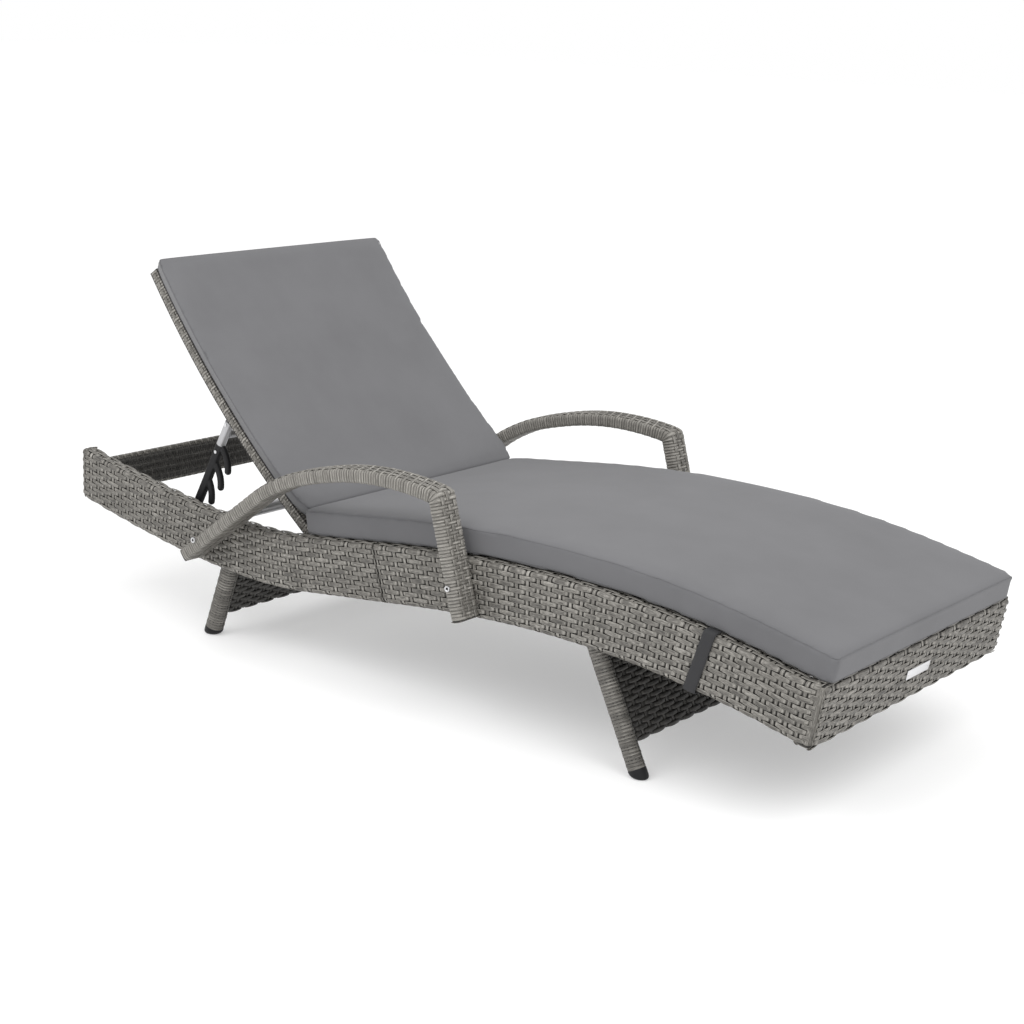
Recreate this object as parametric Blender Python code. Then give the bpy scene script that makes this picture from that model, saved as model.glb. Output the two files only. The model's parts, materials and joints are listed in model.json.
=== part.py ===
"""Reclining sun lounger in woven rattan on a metal frame, with a ratchet backrest and loose cushions.

Metres, +Z up, +X towards the foot end, +Y to the side of a lying person's left arm.
The origin is on the ground, at the middle of the lounger's length and width.
"""
import math

import bmesh
import bpy
import numpy as np
from mathutils import Matrix, Vector

NAME = "sun_lounger"
GAP = 0.0003                     # air between two touching pieces
SIDES = (("right", -1), ("left", 1))

# Side rails: a gentle S from the head end (-X) to the foot end, given as their middle line
RAIL_LINE = [(-0.919, 0.275), (-0.700, 0.2355), (-0.500, 0.2115), (-0.340, 0.2065), (-0.150, 0.229),
             (0.116, 0.2615), (0.350, 0.274), (0.600, 0.262), (0.905, 0.208)]
RAIL_HEIGHT = 0.105
RAIL_THICK = 0.0315
HALF_WIDTH = 0.3465              # to the outer face of a rail
HEAD_END, FOOT_END = -0.921, 0.903
RAIL_SEAM = -0.052               # where the head half and the foot half of a rail meet
SEAM_LEAN = 0.020                # how far the seam leans towards the head at its top
FOOT_LEAN = 0.016                # how far the foot panel leans outwards at its top
PANEL_THICK = 0.0300
JOINT_PLATE = (0.07, -0.028, 0.022, 0.004)     # reach past the seam, low and high offset, thickness

# Head crossbar, from its top edge to its bottom edge
CROSSBAR_TOP, CROSSBAR_BOTTOM = (-0.865, 0.314), (-0.843, 0.247)
CROSSBAR_THICK = 0.022

# Seat deck and the tubes under it
DECK_THICK = 0.011
DECK_RISE = 0.005                # its top above the rails' top edges
DECK_HEAD_END = -0.232
DECK_TUBE_RADIUS = 0.0125
DECK_TUBES = (-0.205, 0.150, 0.520)

# Backrest: an arc of constant curvature from its hinge to its top edge
HINGE = (-0.254, 0.252)
BACK_LENGTH = 0.682
BACK_ANGLE_LOW, BACK_ANGLE_HIGH = math.radians(36.0), math.radians(54.3)
BACK_THICK = 0.023
BACK_HALF_WIDTH = 0.310
BACK_TUBE_WIDTH = 0.026
BACK_PANEL_THICK = 0.010
HINGE_PIN_RADIUS = 0.005
HINGE_HOLE_RADIUS = 0.0053
HINGE_PIN_BITE = 0.002           # how far short of the side tube's inner face the pin ends
HINGE_BRACKET = (0.021, 0.0035)  # radius, thickness
BACK_TUBE_OVERRUN = 0.013        # of the side tubes past the hinge
BOTTOM_TUBE_REACH = 0.011        # of the bottom tube to each side of the hinge

# Prop struts: they pivot behind the backrest and hook over the ratchet bar
STRUT_PIVOT = (-0.5190, 0.4450)
STRUT_TILT = math.atan2(0.450, 0.893)     # lean of the strut from upright, its lower end to the head
STRUT_Y = 0.297
STRUT_RADIUS = 0.0095
STRUT_TUBE_LENGTH = 0.046                 # from the pivot to the top of the comb
STRUT_HEAD = 0.006                        # tube above the pivot
STRUT_CROSS_TUBE = 0.028                  # the cross tube's distance below the pivot
STRUT_CROSS_RADIUS = 0.008
PIVOT_PIN_RADIUS = 0.004
PIVOT_PIN_REACH = (0.007, 0.011)          # past the bracket inwards, past the strut outwards
STRUT_BRACKET = (0.004, 0.020, 0.011)     # thickness, width, reach below the pivot
COMB_LENGTH = 0.253                       # from the pivot to the comb's lower end
COMB_THICK = 0.014
FINGERS = ((0.097, 0.045), (0.140, 0.043), (0.184, 0.034))   # each tip: down the comb, out from it
FINGER_RADIUS = 0.0055
FINGER_DROP = 0.044                       # from where a finger leaves the spine down to its tip
FINGER_BEND = (0.022, 0.005)              # of its bend: above its tip, in from its tip
FINGER_INSET = 0.001                      # from the spine's faces, and half as far as it starts out from it
COMB_SCREW = (0.024, 0.0035, 0.0015)      # below the tube's end, radius, height
RATCHET_BAR = (-0.6065, 0.2160)
RATCHET_BAR_RADIUS = 0.0125
RATCHET_BRACKET = (0.019, 0.006)          # radius, thickness

# Legs: top and ground point of each centre line, and its radius
LEG_Y = 0.3255
FRONT_LEG = ((0.4515, 0.210), (0.5575, 0.0), 0.0163)
REAR_LEG = ((-0.478, 0.163), (-0.5334, 0.0), 0.0185)
CAP_HEIGHT = 0.024
CAP_WALL = 0.0015
UNCUT_LEG = 0.27                 # along the leg, before it is cut off under the rail
UNCUT_CAP = 0.03                 # below the ground, before it is cut off there
LEG_CLEARANCE, LEG_PANEL_CLEARANCE = 0.001, 0.004     # below the rail
LEG_PANEL_THICK = 0.012
LEG_PANEL_BOTTOM = {"front": 0.056, "rear": 0.046}

# Armrests: an arch outside each rail, then a straight post down to the rail
ARM_LINE = [(-0.545, 0.180), (-0.378, 0.311), (-0.321, 0.354), (-0.267, 0.384), (-0.160, 0.420),
            (-0.050, 0.440), (0.042, 0.442), (0.120, 0.434)]
ARM_POST_FOOT = (0.187, 0.215)
ARM_THICK = 0.025
ARM_WIDTH = 0.053
ARM_SCREW = (0.0055, 0.003)      # radius, height
ARM_SCREWS = {"rear": (-0.510, 0.2215), "front": (0.1655, 0.274)}

# Cushions
CUSHION_HALF_WIDTH = 0.334
SEAT_CUSHION = (-0.264, 0.917)            # head end and foot end
SEAT_CUSHION_LEAN = (-0.0085, 0.008)      # how far each end leans along +X at its top
SEAT_CUSHION_THICK = 0.050
BACK_CUSHION_START = 0.058                # its lower edge, up the backrest from the hinge
BACK_CUSHION_THICK = 0.039
BACK_CUSHION_OVERHANG = 0.004             # past the top tube

STRAP = (0.669, 0.024, 0.002)             # place along the rail, width, thickness
STRAP_CLEARANCE = (0.002, 0.001)          # above and below the rails, beside the cushion
BADGE = (0.084, 0.024, 0.002, 0.0005)     # width, height, thickness, edge bevel

# Colour, roughness and metallic value of each finish
FINISHES = {
    "wicker": ((0.22, 0.20, 0.185, 1), 0.6, 0.0),
    "wicker_shade": ((0.07, 0.065, 0.06, 1), 0.7, 0.0),
    "cushion": ((0.22, 0.22, 0.225, 1), 0.9, 0.0),
    "tube": ((0.70, 0.71, 0.72, 1), 0.35, 1.0),
    "black_plastic": ((0.02, 0.02, 0.022, 1), 0.45, 0.0),
    "strap": ((0.05, 0.05, 0.052, 1), 0.9, 0.0),
    "steel": ((0.60, 0.60, 0.60, 1), 0.4, 1.0),
}


# ---------------------------------------------------------------- scene and materials

def clear_scene():
    for obj in list(bpy.data.objects):
        bpy.data.objects.remove(obj, do_unlink=True)


def new_collection(name):
    collection = bpy.data.collections.new(name)
    bpy.context.scene.collection.children.link(collection)
    return collection


def give_material(obj, finish):
    """Each sub-part has its own material, made from the finish it shares with others."""
    colour, roughness, metallic = FINISHES[finish]
    material = bpy.data.materials.new(obj.name + "_" + finish)
    material.use_nodes = True
    shader = material.node_tree.nodes["Principled BSDF"]
    shader.inputs["Base Color"].default_value = colour
    shader.inputs["Roughness"].default_value = roughness
    shader.inputs["Metallic"].default_value = metallic
    material.diffuse_color = colour
    obj.data.materials.append(material)


# ---------------------------------------------------------------- outlines in the X-Z plane

def smooth_height(points):
    """A smooth height over x through the points, as a cubic with matched slopes."""
    xs, zs = np.array(points).T
    slopes = np.gradient(zs, xs, edge_order=2)

    def height(x):
        i = int(np.clip(np.searchsorted(xs, x) - 1, 0, len(xs) - 2))
        width = xs[i + 1] - xs[i]
        t = (x - xs[i]) / width
        return float((1 + 2 * t) * (1 - t) ** 2 * zs[i] + t * (1 - t) ** 2 * width * slopes[i]
                     + t * t * (3 - 2 * t) * zs[i + 1] + t * t * (t - 1) * width * slopes[i + 1])
    return height


RAIL_HEIGHT_AT = smooth_height(RAIL_LINE)


def rail_point(x, offset):
    """The point at x on the line that runs at an offset above the rails' middle line."""
    slope = (RAIL_HEIGHT_AT(x + 0.001) - RAIL_HEIGHT_AT(x - 0.001)) / 0.002
    return (x, RAIL_HEIGHT_AT(x) + offset * math.hypot(1, slope))


def rail_outline(head, foot, low, high, head_lean=0.0, foot_lean=0.0, step=0.045):
    """A band along the rails between two places and two offsets from the middle line.
    A lean moves that end's top corner by half of it along +X, and its bottom corner back."""
    count = max(2, math.ceil((foot - head) / step) + 1)
    top = np.linspace(head + head_lean / 2, foot + foot_lean / 2, count)
    bottom = np.linspace(foot - foot_lean / 2, head - head_lean / 2, count)
    return [rail_point(x, high) for x in top] + [rail_point(x, low) for x in bottom]


def back_point(along, offset=0.0):
    """The point this far up the backrest from the hinge, and this far in front of its middle."""
    radius = BACK_LENGTH / (BACK_ANGLE_HIGH - BACK_ANGLE_LOW)
    angle = BACK_ANGLE_LOW + along / radius
    x = HINGE[0] - radius * (math.sin(angle) - math.sin(BACK_ANGLE_LOW))
    z = HINGE[1] - radius * (math.cos(angle) - math.cos(BACK_ANGLE_LOW))
    return (x + offset * math.sin(angle), z + offset * math.cos(angle))


def back_outline(start, end, low, high, count=15):
    places = np.linspace(start, end, count)
    return [back_point(s, high) for s in places] + [back_point(s, low) for s in places[::-1]]


def thick_line(points, thickness):
    """The outline of an open line of even thickness, mitred at its bends."""
    line = [Vector(p) for p in points]
    ways = [(b - a).normalized() for a, b in zip(line, line[1:])]
    left, right = [], []
    for i, point in enumerate(line):
        before, after = ways[max(i - 1, 0)], ways[min(i, len(ways) - 1)]
        normal = (Vector((-before.y, before.x)) + Vector((-after.y, after.x))).normalized()
        reach = thickness / 2 / normal.dot(Vector((-before.y, before.x)))
        left.append(tuple(point + normal * reach))
        right.append(tuple(point - normal * reach))
    return left + right[::-1]


def circle(centre, radius, count=24):
    turns = [2 * math.pi * i / count for i in range(count)]
    return [(centre[0] + radius * math.cos(t), centre[1] + radius * math.sin(t)) for t in turns]


def across(side, near, far):
    """The lowest and highest y of a piece that lies between two distances from the middle."""
    return sorted((side * near, side * far))


def strut_point(down, out=0.0):
    """The point this far down the strut from its pivot, and this far towards the foot end."""
    sine, cosine = math.sin(STRUT_TILT), math.cos(STRUT_TILT)
    return (STRUT_PIVOT[0] - down * sine + out * cosine, STRUT_PIVOT[1] - down * cosine - out * sine)


# ---------------------------------------------------------------- makers

def plate(name, outlines, y_low, y_high, finish):
    """A flat piece: X-Z outlines, any inner one a hole, given its width along Y."""
    curve = bpy.data.curves.new(name, "CURVE")
    curve.dimensions = "2D"
    curve.fill_mode = "BOTH"
    curve.extrude = (y_high - y_low) / 2
    for outline in outlines:
        spline = curve.splines.new("POLY")
        spline.points.add(len(outline) - 1)
        for point, (x, z) in zip(spline.points, outline):
            point.co = (x, z, 0, 1)
        spline.use_cyclic_u = True
    obj = bpy.data.objects.new(name, curve)
    obj.rotation_euler = (math.pi / 2, 0, 0)
    obj.location = (0, (y_low + y_high) / 2, 0)
    PARTS.objects.link(obj)
    give_material(obj, finish)
    return obj


def tube(name, points, radius, finish, collection=None, resolution=4):
    """A round bar along a line of points, closed at its ends."""
    curve = bpy.data.curves.new(name, "CURVE")
    curve.dimensions = "3D"
    curve.bevel_depth = radius
    curve.bevel_resolution = resolution
    curve.use_fill_caps = True
    spline = curve.splines.new("POLY")
    spline.points.add(len(points) - 1)
    for point, place in zip(spline.points, points):
        point.co = (*place, 1)
    obj = bpy.data.objects.new(name, curve)
    (collection or PARTS).objects.link(obj)
    give_material(obj, finish)
    return obj


def to_mesh(obj):
    """The same piece as a mesh whose end caps are welded on."""
    bpy.context.view_layer.update()
    mesh = bpy.data.meshes.new_from_object(obj.evaluated_get(bpy.context.evaluated_depsgraph_get()))
    mesh.transform(obj.matrix_world)
    name, collection, curve = obj.name, obj.users_collection[0], obj.data
    bpy.data.objects.remove(obj)
    bpy.data.curves.remove(curve)
    shape = bmesh.new()
    shape.from_mesh(mesh)
    bmesh.ops.remove_doubles(shape, verts=shape.verts, dist=0.00001)
    bmesh.ops.recalc_face_normals(shape, faces=shape.faces)
    shape.to_mesh(mesh)
    shape.free()
    piece = bpy.data.objects.new(name, mesh)
    collection.objects.link(piece)
    return piece


def cut_flat(obj, height, keep_above):
    """Cuts a piece on a level plane and closes the cut."""
    piece = to_mesh(obj)
    shape = bmesh.new()
    shape.from_mesh(piece.data)
    bmesh.ops.bisect_plane(shape, geom=shape.verts[:] + shape.edges[:] + shape.faces[:], dist=0.000001,
                           plane_co=(0, 0, height), plane_no=(0, 0, 1),
                           clear_inner=keep_above, clear_outer=not keep_above)
    bmesh.ops.holes_fill(shape, edges=[e for e in shape.edges if e.is_boundary])
    bmesh.ops.recalc_face_normals(shape, faces=shape.faces)
    shape.to_mesh(piece.data)
    shape.free()
    return piece


def combine(piece, other, operation):
    """Adds another solid to a piece, or cuts it away, and keeps the result."""
    modifier = piece.modifiers.new("join", "BOOLEAN")
    modifier.operation = operation
    modifier.object = other
    bpy.context.view_layer.update()
    mesh = bpy.data.meshes.new_from_object(piece.evaluated_get(bpy.context.evaluated_depsgraph_get()))
    piece.modifiers.remove(modifier)
    piece.data = mesh
    if operation == "UNION":
        bpy.data.objects.remove(other)
    else:
        other.hide_render = True
        other.display_type = "WIRE"


def moving_origin(obj, place):
    """Puts a piece's origin on the axis it turns about, without moving the piece."""
    if obj.type != "MESH":
        obj = to_mesh(obj)
    obj.data.transform(Matrix.Translation((-place[0], 0, -place[1])))
    obj.location = (place[0], 0, place[1])
    return obj


# ---------------------------------------------------------------- the fixed frame

def build_rails():
    half = RAIL_HEIGHT / 2
    inner = HALF_WIDTH - RAIL_THICK
    foot_inside = FOOT_END - PANEL_THICK
    head_half = rail_outline(HEAD_END, RAIL_SEAM - GAP, -half, half, foot_lean=-SEAM_LEAN)
    foot_half = rail_outline(RAIL_SEAM + GAP, foot_inside - GAP, -half, half, -SEAM_LEAN, FOOT_LEAN)
    reach, low, high, thickness = JOINT_PLATE
    joint = rail_outline(RAIL_SEAM - reach, RAIL_SEAM + reach, low, high)
    for word, side in SIDES:
        plate("side_rail_head_" + word, [head_half], *across(side, inner, HALF_WIDTH), "wicker")
        plate("side_rail_foot_" + word, [foot_half], *across(side, inner, HALF_WIDTH), "wicker")
        plate("rail_joint_plate_" + word, [joint], *across(side, inner - thickness, inner - GAP), "steel")
    foot_panel = rail_outline(foot_inside, FOOT_END, -half, half, FOOT_LEAN, FOOT_LEAN)
    plate("foot_panel", [foot_panel], -HALF_WIDTH, HALF_WIDTH, "wicker")
    crossbar = thick_line([CROSSBAR_TOP, CROSSBAR_BOTTOM], CROSSBAR_THICK)
    plate("head_crossbar", [crossbar], -inner + GAP, inner - GAP, "wicker_shade")


def build_deck():
    inner = HALF_WIDTH - RAIL_THICK
    top = RAIL_HEIGHT / 2 + DECK_RISE
    deck = rail_outline(DECK_HEAD_END, FOOT_END - PANEL_THICK - FOOT_LEAN, top - DECK_THICK, top)
    plate("seat_deck", [deck], -inner + GAP, inner - GAP, "wicker_shade")
    for number, x in enumerate(DECK_TUBES, 1):
        z = min(rail_point(x + dx, top - DECK_THICK)[1] for dx in (-DECK_TUBE_RADIUS, 0, DECK_TUBE_RADIUS))
        z -= DECK_TUBE_RADIUS + 2 * GAP
        tube("deck_tube_%d" % number, [(x, -inner + GAP, z), (x, inner - GAP, z)], DECK_TUBE_RADIUS, "tube")


def leg_axis(leg, height):
    """The point of a leg's centre line at a height."""
    (top_x, top_z), (foot_x, _), _ = leg
    return foot_x + (top_x - foot_x) * height / top_z


def build_legs():
    for word, leg in (("front", FRONT_LEG), ("rear", REAR_LEG)):
        top, ground, radius = leg
        way = (Vector(top) - Vector(ground)).normalized()
        cap_top = Vector(ground) + way * CAP_HEIGHT / way.y
        rail_bottom = rail_point(top[0], -RAIL_HEIGHT / 2)[1]
        for hand, side in SIDES:
            y = side * LEG_Y
            start = cap_top + way * GAP
            end = Vector(ground) + way * UNCUT_LEG
            leg_tube = tube("%s_leg_%s" % (word, hand), [(start.x, y, start.y), (end.x, y, end.y)],
                            radius, "wicker", resolution=5)
            cut_flat(leg_tube, rail_bottom - LEG_CLEARANCE, keep_above=False)
            below = Vector(ground) - way * UNCUT_CAP
            cap = tube("foot_cap_%s_%s" % (word, hand), [(below.x, y, below.y), (cap_top.x, y, cap_top.y)],
                       radius + CAP_WALL, "black_plastic", resolution=5)
            cut_flat(cap, 0.0, keep_above=True)
        low, high = LEG_PANEL_BOTTOM[word], rail_bottom - LEG_PANEL_CLEARANCE
        panel = thick_line([(leg_axis(leg, high), high), (leg_axis(leg, low), low)], LEG_PANEL_THICK)
        reach = LEG_Y - radius - GAP
        plate(word + "_leg_panel", [panel], -reach, reach, "wicker_shade")


def build_armrests():
    height = smooth_height(ARM_LINE)
    xs = np.linspace(ARM_LINE[0][0], ARM_LINE[-1][0], 26)
    outline = thick_line([(x, height(x)) for x in xs] + [ARM_POST_FOOT], ARM_THICK)
    outer = HALF_WIDTH + GAP + ARM_WIDTH
    screw_radius, screw_height = ARM_SCREW
    for hand, side in SIDES:
        plate("armrest_" + hand, [outline], *across(side, HALF_WIDTH + GAP, outer), "wicker")
        for word, place in ARM_SCREWS.items():
            y = outer + GAP
            tube("armrest_screw_%s_%s" % (word, hand),
                 [(place[0], side * y, place[1]), (place[0], side * (y + screw_height), place[1])],
                 screw_radius, "steel")


def build_hinge_and_ratchet_mounts():
    """Brackets on the rails' inner faces, with the pins the backrest turns on and the ratchet bar."""
    inner = HALF_WIDTH - RAIL_THICK
    hinge_disc, hinge_thickness = HINGE_BRACKET
    bar_disc, bar_thickness = RATCHET_BRACKET
    for hand, side in SIDES:
        plate("hinge_bracket_" + hand, [circle(HINGE, hinge_disc), circle(HINGE, HINGE_HOLE_RADIUS)],
              *across(side, inner - hinge_thickness, inner - GAP), "steel")
        pin_end = BACK_HALF_WIDTH - BACK_TUBE_WIDTH + HINGE_PIN_BITE
        tube("hinge_pin_" + hand, [(HINGE[0], side * (inner - GAP), HINGE[1]),
                                   (HINGE[0], side * pin_end, HINGE[1])], HINGE_PIN_RADIUS, "steel")
        plate("ratchet_bar_bracket_" + hand, [circle(RATCHET_BAR, bar_disc)],
              *across(side, inner - bar_thickness, inner - GAP), "black_plastic")
    reach = inner - bar_thickness - GAP
    tube("ratchet_bar", [(RATCHET_BAR[0], -reach, RATCHET_BAR[1]), (RATCHET_BAR[0], reach, RATCHET_BAR[1])],
         RATCHET_BAR_RADIUS, "tube", resolution=5)


# ---------------------------------------------------------------- the backrest

def build_backrest():
    half = BACK_THICK / 2
    inner = BACK_HALF_WIDTH - BACK_TUBE_WIDTH
    side_tube = back_outline(-BACK_TUBE_OVERRUN, BACK_LENGTH, -half, half)
    for hand, side in SIDES:
        piece = plate("back_side_tube_" + hand, [side_tube, circle(HINGE, HINGE_HOLE_RADIUS)],
                      *across(side, inner, BACK_HALF_WIDTH), "wicker")
        moving_origin(piece, HINGE)
    top_tube = back_outline(BACK_LENGTH - BACK_TUBE_WIDTH, BACK_LENGTH, -half, half, count=3)
    bottom_tube = back_outline(-BOTTOM_TUBE_REACH, BOTTOM_TUBE_REACH, -half, half, count=3)
    panel = back_outline(BOTTOM_TUBE_REACH + GAP, BACK_LENGTH - BACK_TUBE_WIDTH - GAP,
                         half - BACK_PANEL_THICK, half)
    for name, outline, finish in (("back_top_tube", top_tube, "wicker"), ("back_panel", panel, "wicker"),
                                  ("back_bottom_tube", bottom_tube, "wicker")):
        moving_origin(plate(name, [outline], -inner + GAP, inner - GAP, finish), HINGE)
    thickness, width, reach = STRUT_BRACKET
    ear = thick_line([back_point_near_pivot(), STRUT_PIVOT, strut_point(reach)], width)
    hole = circle(STRUT_PIVOT, PIVOT_PIN_RADIUS + GAP)
    for hand, side in SIDES:
        piece = plate("strut_bracket_" + hand, [ear, hole],
                      *across(side, inner - thickness, inner - GAP), "steel")
        moving_origin(piece, HINGE)


def back_point_near_pivot():
    """The point of the backrest's middle line that is nearest to the strut's pivot."""
    places = np.linspace(0, BACK_LENGTH, 1365)
    return min((back_point(s) for s in places), key=lambda p: math.dist(p, STRUT_PIVOT))


# ---------------------------------------------------------------- the prop struts

def build_struts():
    inner = BACK_HALF_WIDTH - BACK_TUBE_WIDTH
    pin_in, pin_out = PIVOT_PIN_REACH
    screw_down, screw_radius, screw_height = COMB_SCREW
    for hand, side in SIDES:
        y = side * STRUT_Y
        top, bottom = strut_point(-STRUT_HEAD), strut_point(STRUT_TUBE_LENGTH)
        strut = to_mesh(tube("strut_tube_" + hand, [(top[0], y, top[1]), (bottom[0], y, bottom[1])],
                             STRUT_RADIUS, "tube"))
        drill = to_mesh(tube("pivot_drill_" + hand, [(STRUT_PIVOT[0], y - 2 * STRUT_RADIUS, STRUT_PIVOT[1]),
                                                     (STRUT_PIVOT[0], y + 2 * STRUT_RADIUS, STRUT_PIVOT[1])],
                             PIVOT_PIN_RADIUS + GAP, "steel", CUTTERS))
        combine(strut, drill, "DIFFERENCE")
        moving_origin(strut, STRUT_PIVOT)
        pin = tube("strut_pivot_pin_" + hand, [(STRUT_PIVOT[0], side * (inner - pin_in), STRUT_PIVOT[1]),
                                               (STRUT_PIVOT[0], side * (STRUT_Y + pin_out), STRUT_PIVOT[1])],
                   PIVOT_PIN_RADIUS, "steel")
        moving_origin(pin, STRUT_PIVOT)
        moving_origin(build_comb(hand, side), STRUT_PIVOT)
        screw_place = strut_point(STRUT_TUBE_LENGTH + screw_down)
        face = STRUT_Y + COMB_THICK / 2 + GAP
        screw = tube("comb_screw_" + hand, [(screw_place[0], side * face, screw_place[1]),
                                            (screw_place[0], side * (face + screw_height), screw_place[1])],
                     screw_radius, "steel", resolution=3)
        moving_origin(screw, STRUT_PIVOT)
    x, z = strut_point(STRUT_CROSS_TUBE)
    reach = STRUT_Y - STRUT_RADIUS - GAP
    moving_origin(tube("strut_cross_tube", [(x, -reach, z), (x, reach, z)], STRUT_CROSS_RADIUS, "tube"),
                  STRUT_PIVOT)


def build_comb(hand, side):
    """A flat moulded comb: a spine below the strut tube with fingers that hook downwards."""
    y_range = across(side, STRUT_Y - COMB_THICK / 2, STRUT_Y + COMB_THICK / 2)
    start = STRUT_TUBE_LENGTH + GAP
    spine = thick_line([strut_point(start), strut_point(COMB_LENGTH)], 2 * STRUT_RADIUS)
    comb = to_mesh(plate("ratchet_comb_" + hand, [spine], *y_range, "black_plastic"))
    bend_up, bend_in = FINGER_BEND
    for number, (down, out) in enumerate(FINGERS, 1):
        route = [strut_point(down - FINGER_DROP, 2 * FINGER_INSET),
                 strut_point(down - bend_up, out - bend_in), strut_point(down - bend_in, out)]
        finger = plate("finger_%d_%s" % (number, hand), [thick_line(route, 2 * FINGER_RADIUS)],
                       y_range[0] + FINGER_INSET, y_range[1] - FINGER_INSET, "black_plastic")
        combine(comb, to_mesh(finger), "UNION")
    return comb


# ---------------------------------------------------------------- soft parts and trim

def build_cushions():
    low = RAIL_HEIGHT / 2 + DECK_RISE + 2 * GAP
    seat = rail_outline(*SEAT_CUSHION, low, low + SEAT_CUSHION_THICK, *SEAT_CUSHION_LEAN)
    plate("seat_cushion", [seat], -CUSHION_HALF_WIDTH, CUSHION_HALF_WIDTH, "cushion")
    low = BACK_THICK / 2 + GAP
    back = back_outline(BACK_CUSHION_START, BACK_LENGTH + BACK_CUSHION_OVERHANG,
                        low, low + BACK_CUSHION_THICK)
    moving_origin(plate("back_cushion", [back], -CUSHION_HALF_WIDTH, CUSHION_HALF_WIDTH, "cushion"), HINGE)


def build_strap():
    """An elastic band down each rail's outer face and across below the frame."""
    x, width, thickness = STRAP
    rail_clearance, cushion_clearance = STRAP_CLEARANCE
    top = rail_point(x, RAIL_HEIGHT / 2)[1] + rail_clearance
    bottom = rail_point(x, -RAIL_HEIGHT / 2)[1] - rail_clearance
    outer, hem = HALF_WIDTH + GAP, CUSHION_HALF_WIDTH + cushion_clearance
    over, under, beside = top + thickness / 2, bottom - thickness / 2, outer + thickness / 2
    line = [(-hem, over), (-beside, over), (-beside, under), (beside, under), (beside, over), (hem, over)]
    strap = to_mesh(plate("cushion_strap", [thick_line(line, thickness)], -width / 2, width / 2, "strap"))
    slope = math.atan2(RAIL_HEIGHT_AT(x - 0.01) - RAIL_HEIGHT_AT(x + 0.01), 0.02)
    middle = Vector((0, 0, (top + bottom) / 2))
    strap.data.transform(Matrix.Translation((x, 0, 0)) @ Matrix.Translation(middle)
                         @ Matrix.Rotation(slope, 4, "Y") @ Matrix.Translation(-middle)
                         @ Matrix.Rotation(math.pi / 2, 4, "Z"))


def build_badge():
    width, height, thickness, bevel = BADGE
    lean = math.atan2(FOOT_LEAN, RAIL_HEIGHT)
    x, z = rail_point(FOOT_END, 0)
    plate_mesh = bpy.data.meshes.new("badge_plate")
    shape = bmesh.new()
    bmesh.ops.create_cube(shape, size=1.0)
    bmesh.ops.scale(shape, vec=(thickness, width, height), verts=shape.verts)
    bmesh.ops.bevel(shape, geom=shape.edges[:], offset=bevel, segments=2, profile=0.5, affect="EDGES")
    shape.to_mesh(plate_mesh)
    shape.free()
    obj = bpy.data.objects.new("badge_plate", plate_mesh)
    out = thickness / 2 + 2 * GAP
    obj.location = (x + out * math.cos(lean), 0, z - out * math.sin(lean))
    obj.rotation_euler = (0, lean, 0)
    PARTS.objects.link(obj)
    give_material(obj, "steel")


clear_scene()
PARTS = new_collection(NAME)
CUTTERS = new_collection("cutters")
build_rails()
build_deck()
build_legs()
build_armrests()
build_hinge_and_ratchet_mounts()
build_backrest()
build_struts()
build_cushions()
build_strap()
build_badge()
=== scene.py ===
"""The looks of a woven reclining sun lounger: rattan weave, padded cushions, tubes, combs and trim."""

import json
import math

import bmesh
import bpy
import numpy as np
from mathutils import Matrix, Vector
from mathutils.bvhtree import BVHTree


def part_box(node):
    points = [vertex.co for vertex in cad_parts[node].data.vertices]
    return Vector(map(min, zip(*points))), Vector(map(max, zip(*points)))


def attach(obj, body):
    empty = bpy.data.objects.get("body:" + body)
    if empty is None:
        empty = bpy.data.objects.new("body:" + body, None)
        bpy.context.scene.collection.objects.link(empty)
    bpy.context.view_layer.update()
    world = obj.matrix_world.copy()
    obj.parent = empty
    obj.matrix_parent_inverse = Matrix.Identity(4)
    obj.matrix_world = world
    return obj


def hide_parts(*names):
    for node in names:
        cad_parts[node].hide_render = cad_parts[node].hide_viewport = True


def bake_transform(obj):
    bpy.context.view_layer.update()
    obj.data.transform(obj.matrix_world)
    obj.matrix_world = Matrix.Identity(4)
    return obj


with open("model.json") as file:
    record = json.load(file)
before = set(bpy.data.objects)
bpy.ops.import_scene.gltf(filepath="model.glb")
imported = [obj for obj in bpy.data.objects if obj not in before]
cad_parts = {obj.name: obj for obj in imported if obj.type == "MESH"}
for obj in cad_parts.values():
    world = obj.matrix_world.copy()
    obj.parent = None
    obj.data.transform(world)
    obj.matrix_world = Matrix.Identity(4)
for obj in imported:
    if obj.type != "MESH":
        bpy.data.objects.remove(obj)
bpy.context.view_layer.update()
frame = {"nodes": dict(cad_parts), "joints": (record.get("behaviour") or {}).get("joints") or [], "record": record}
JOINTS = {joint["name"]: joint for joint in frame["joints"]}
MOUNTS = {mount["name"]: mount["pos_m"] for mount in frame["record"]["mounts"]}
SIDES = (("right", -1), ("left", 1))
LEG_PAIRS = ("front", "rear")
chance = np.random.default_rng(7)

# ---------------------------------------------------------------- sizes, in metres

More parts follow.
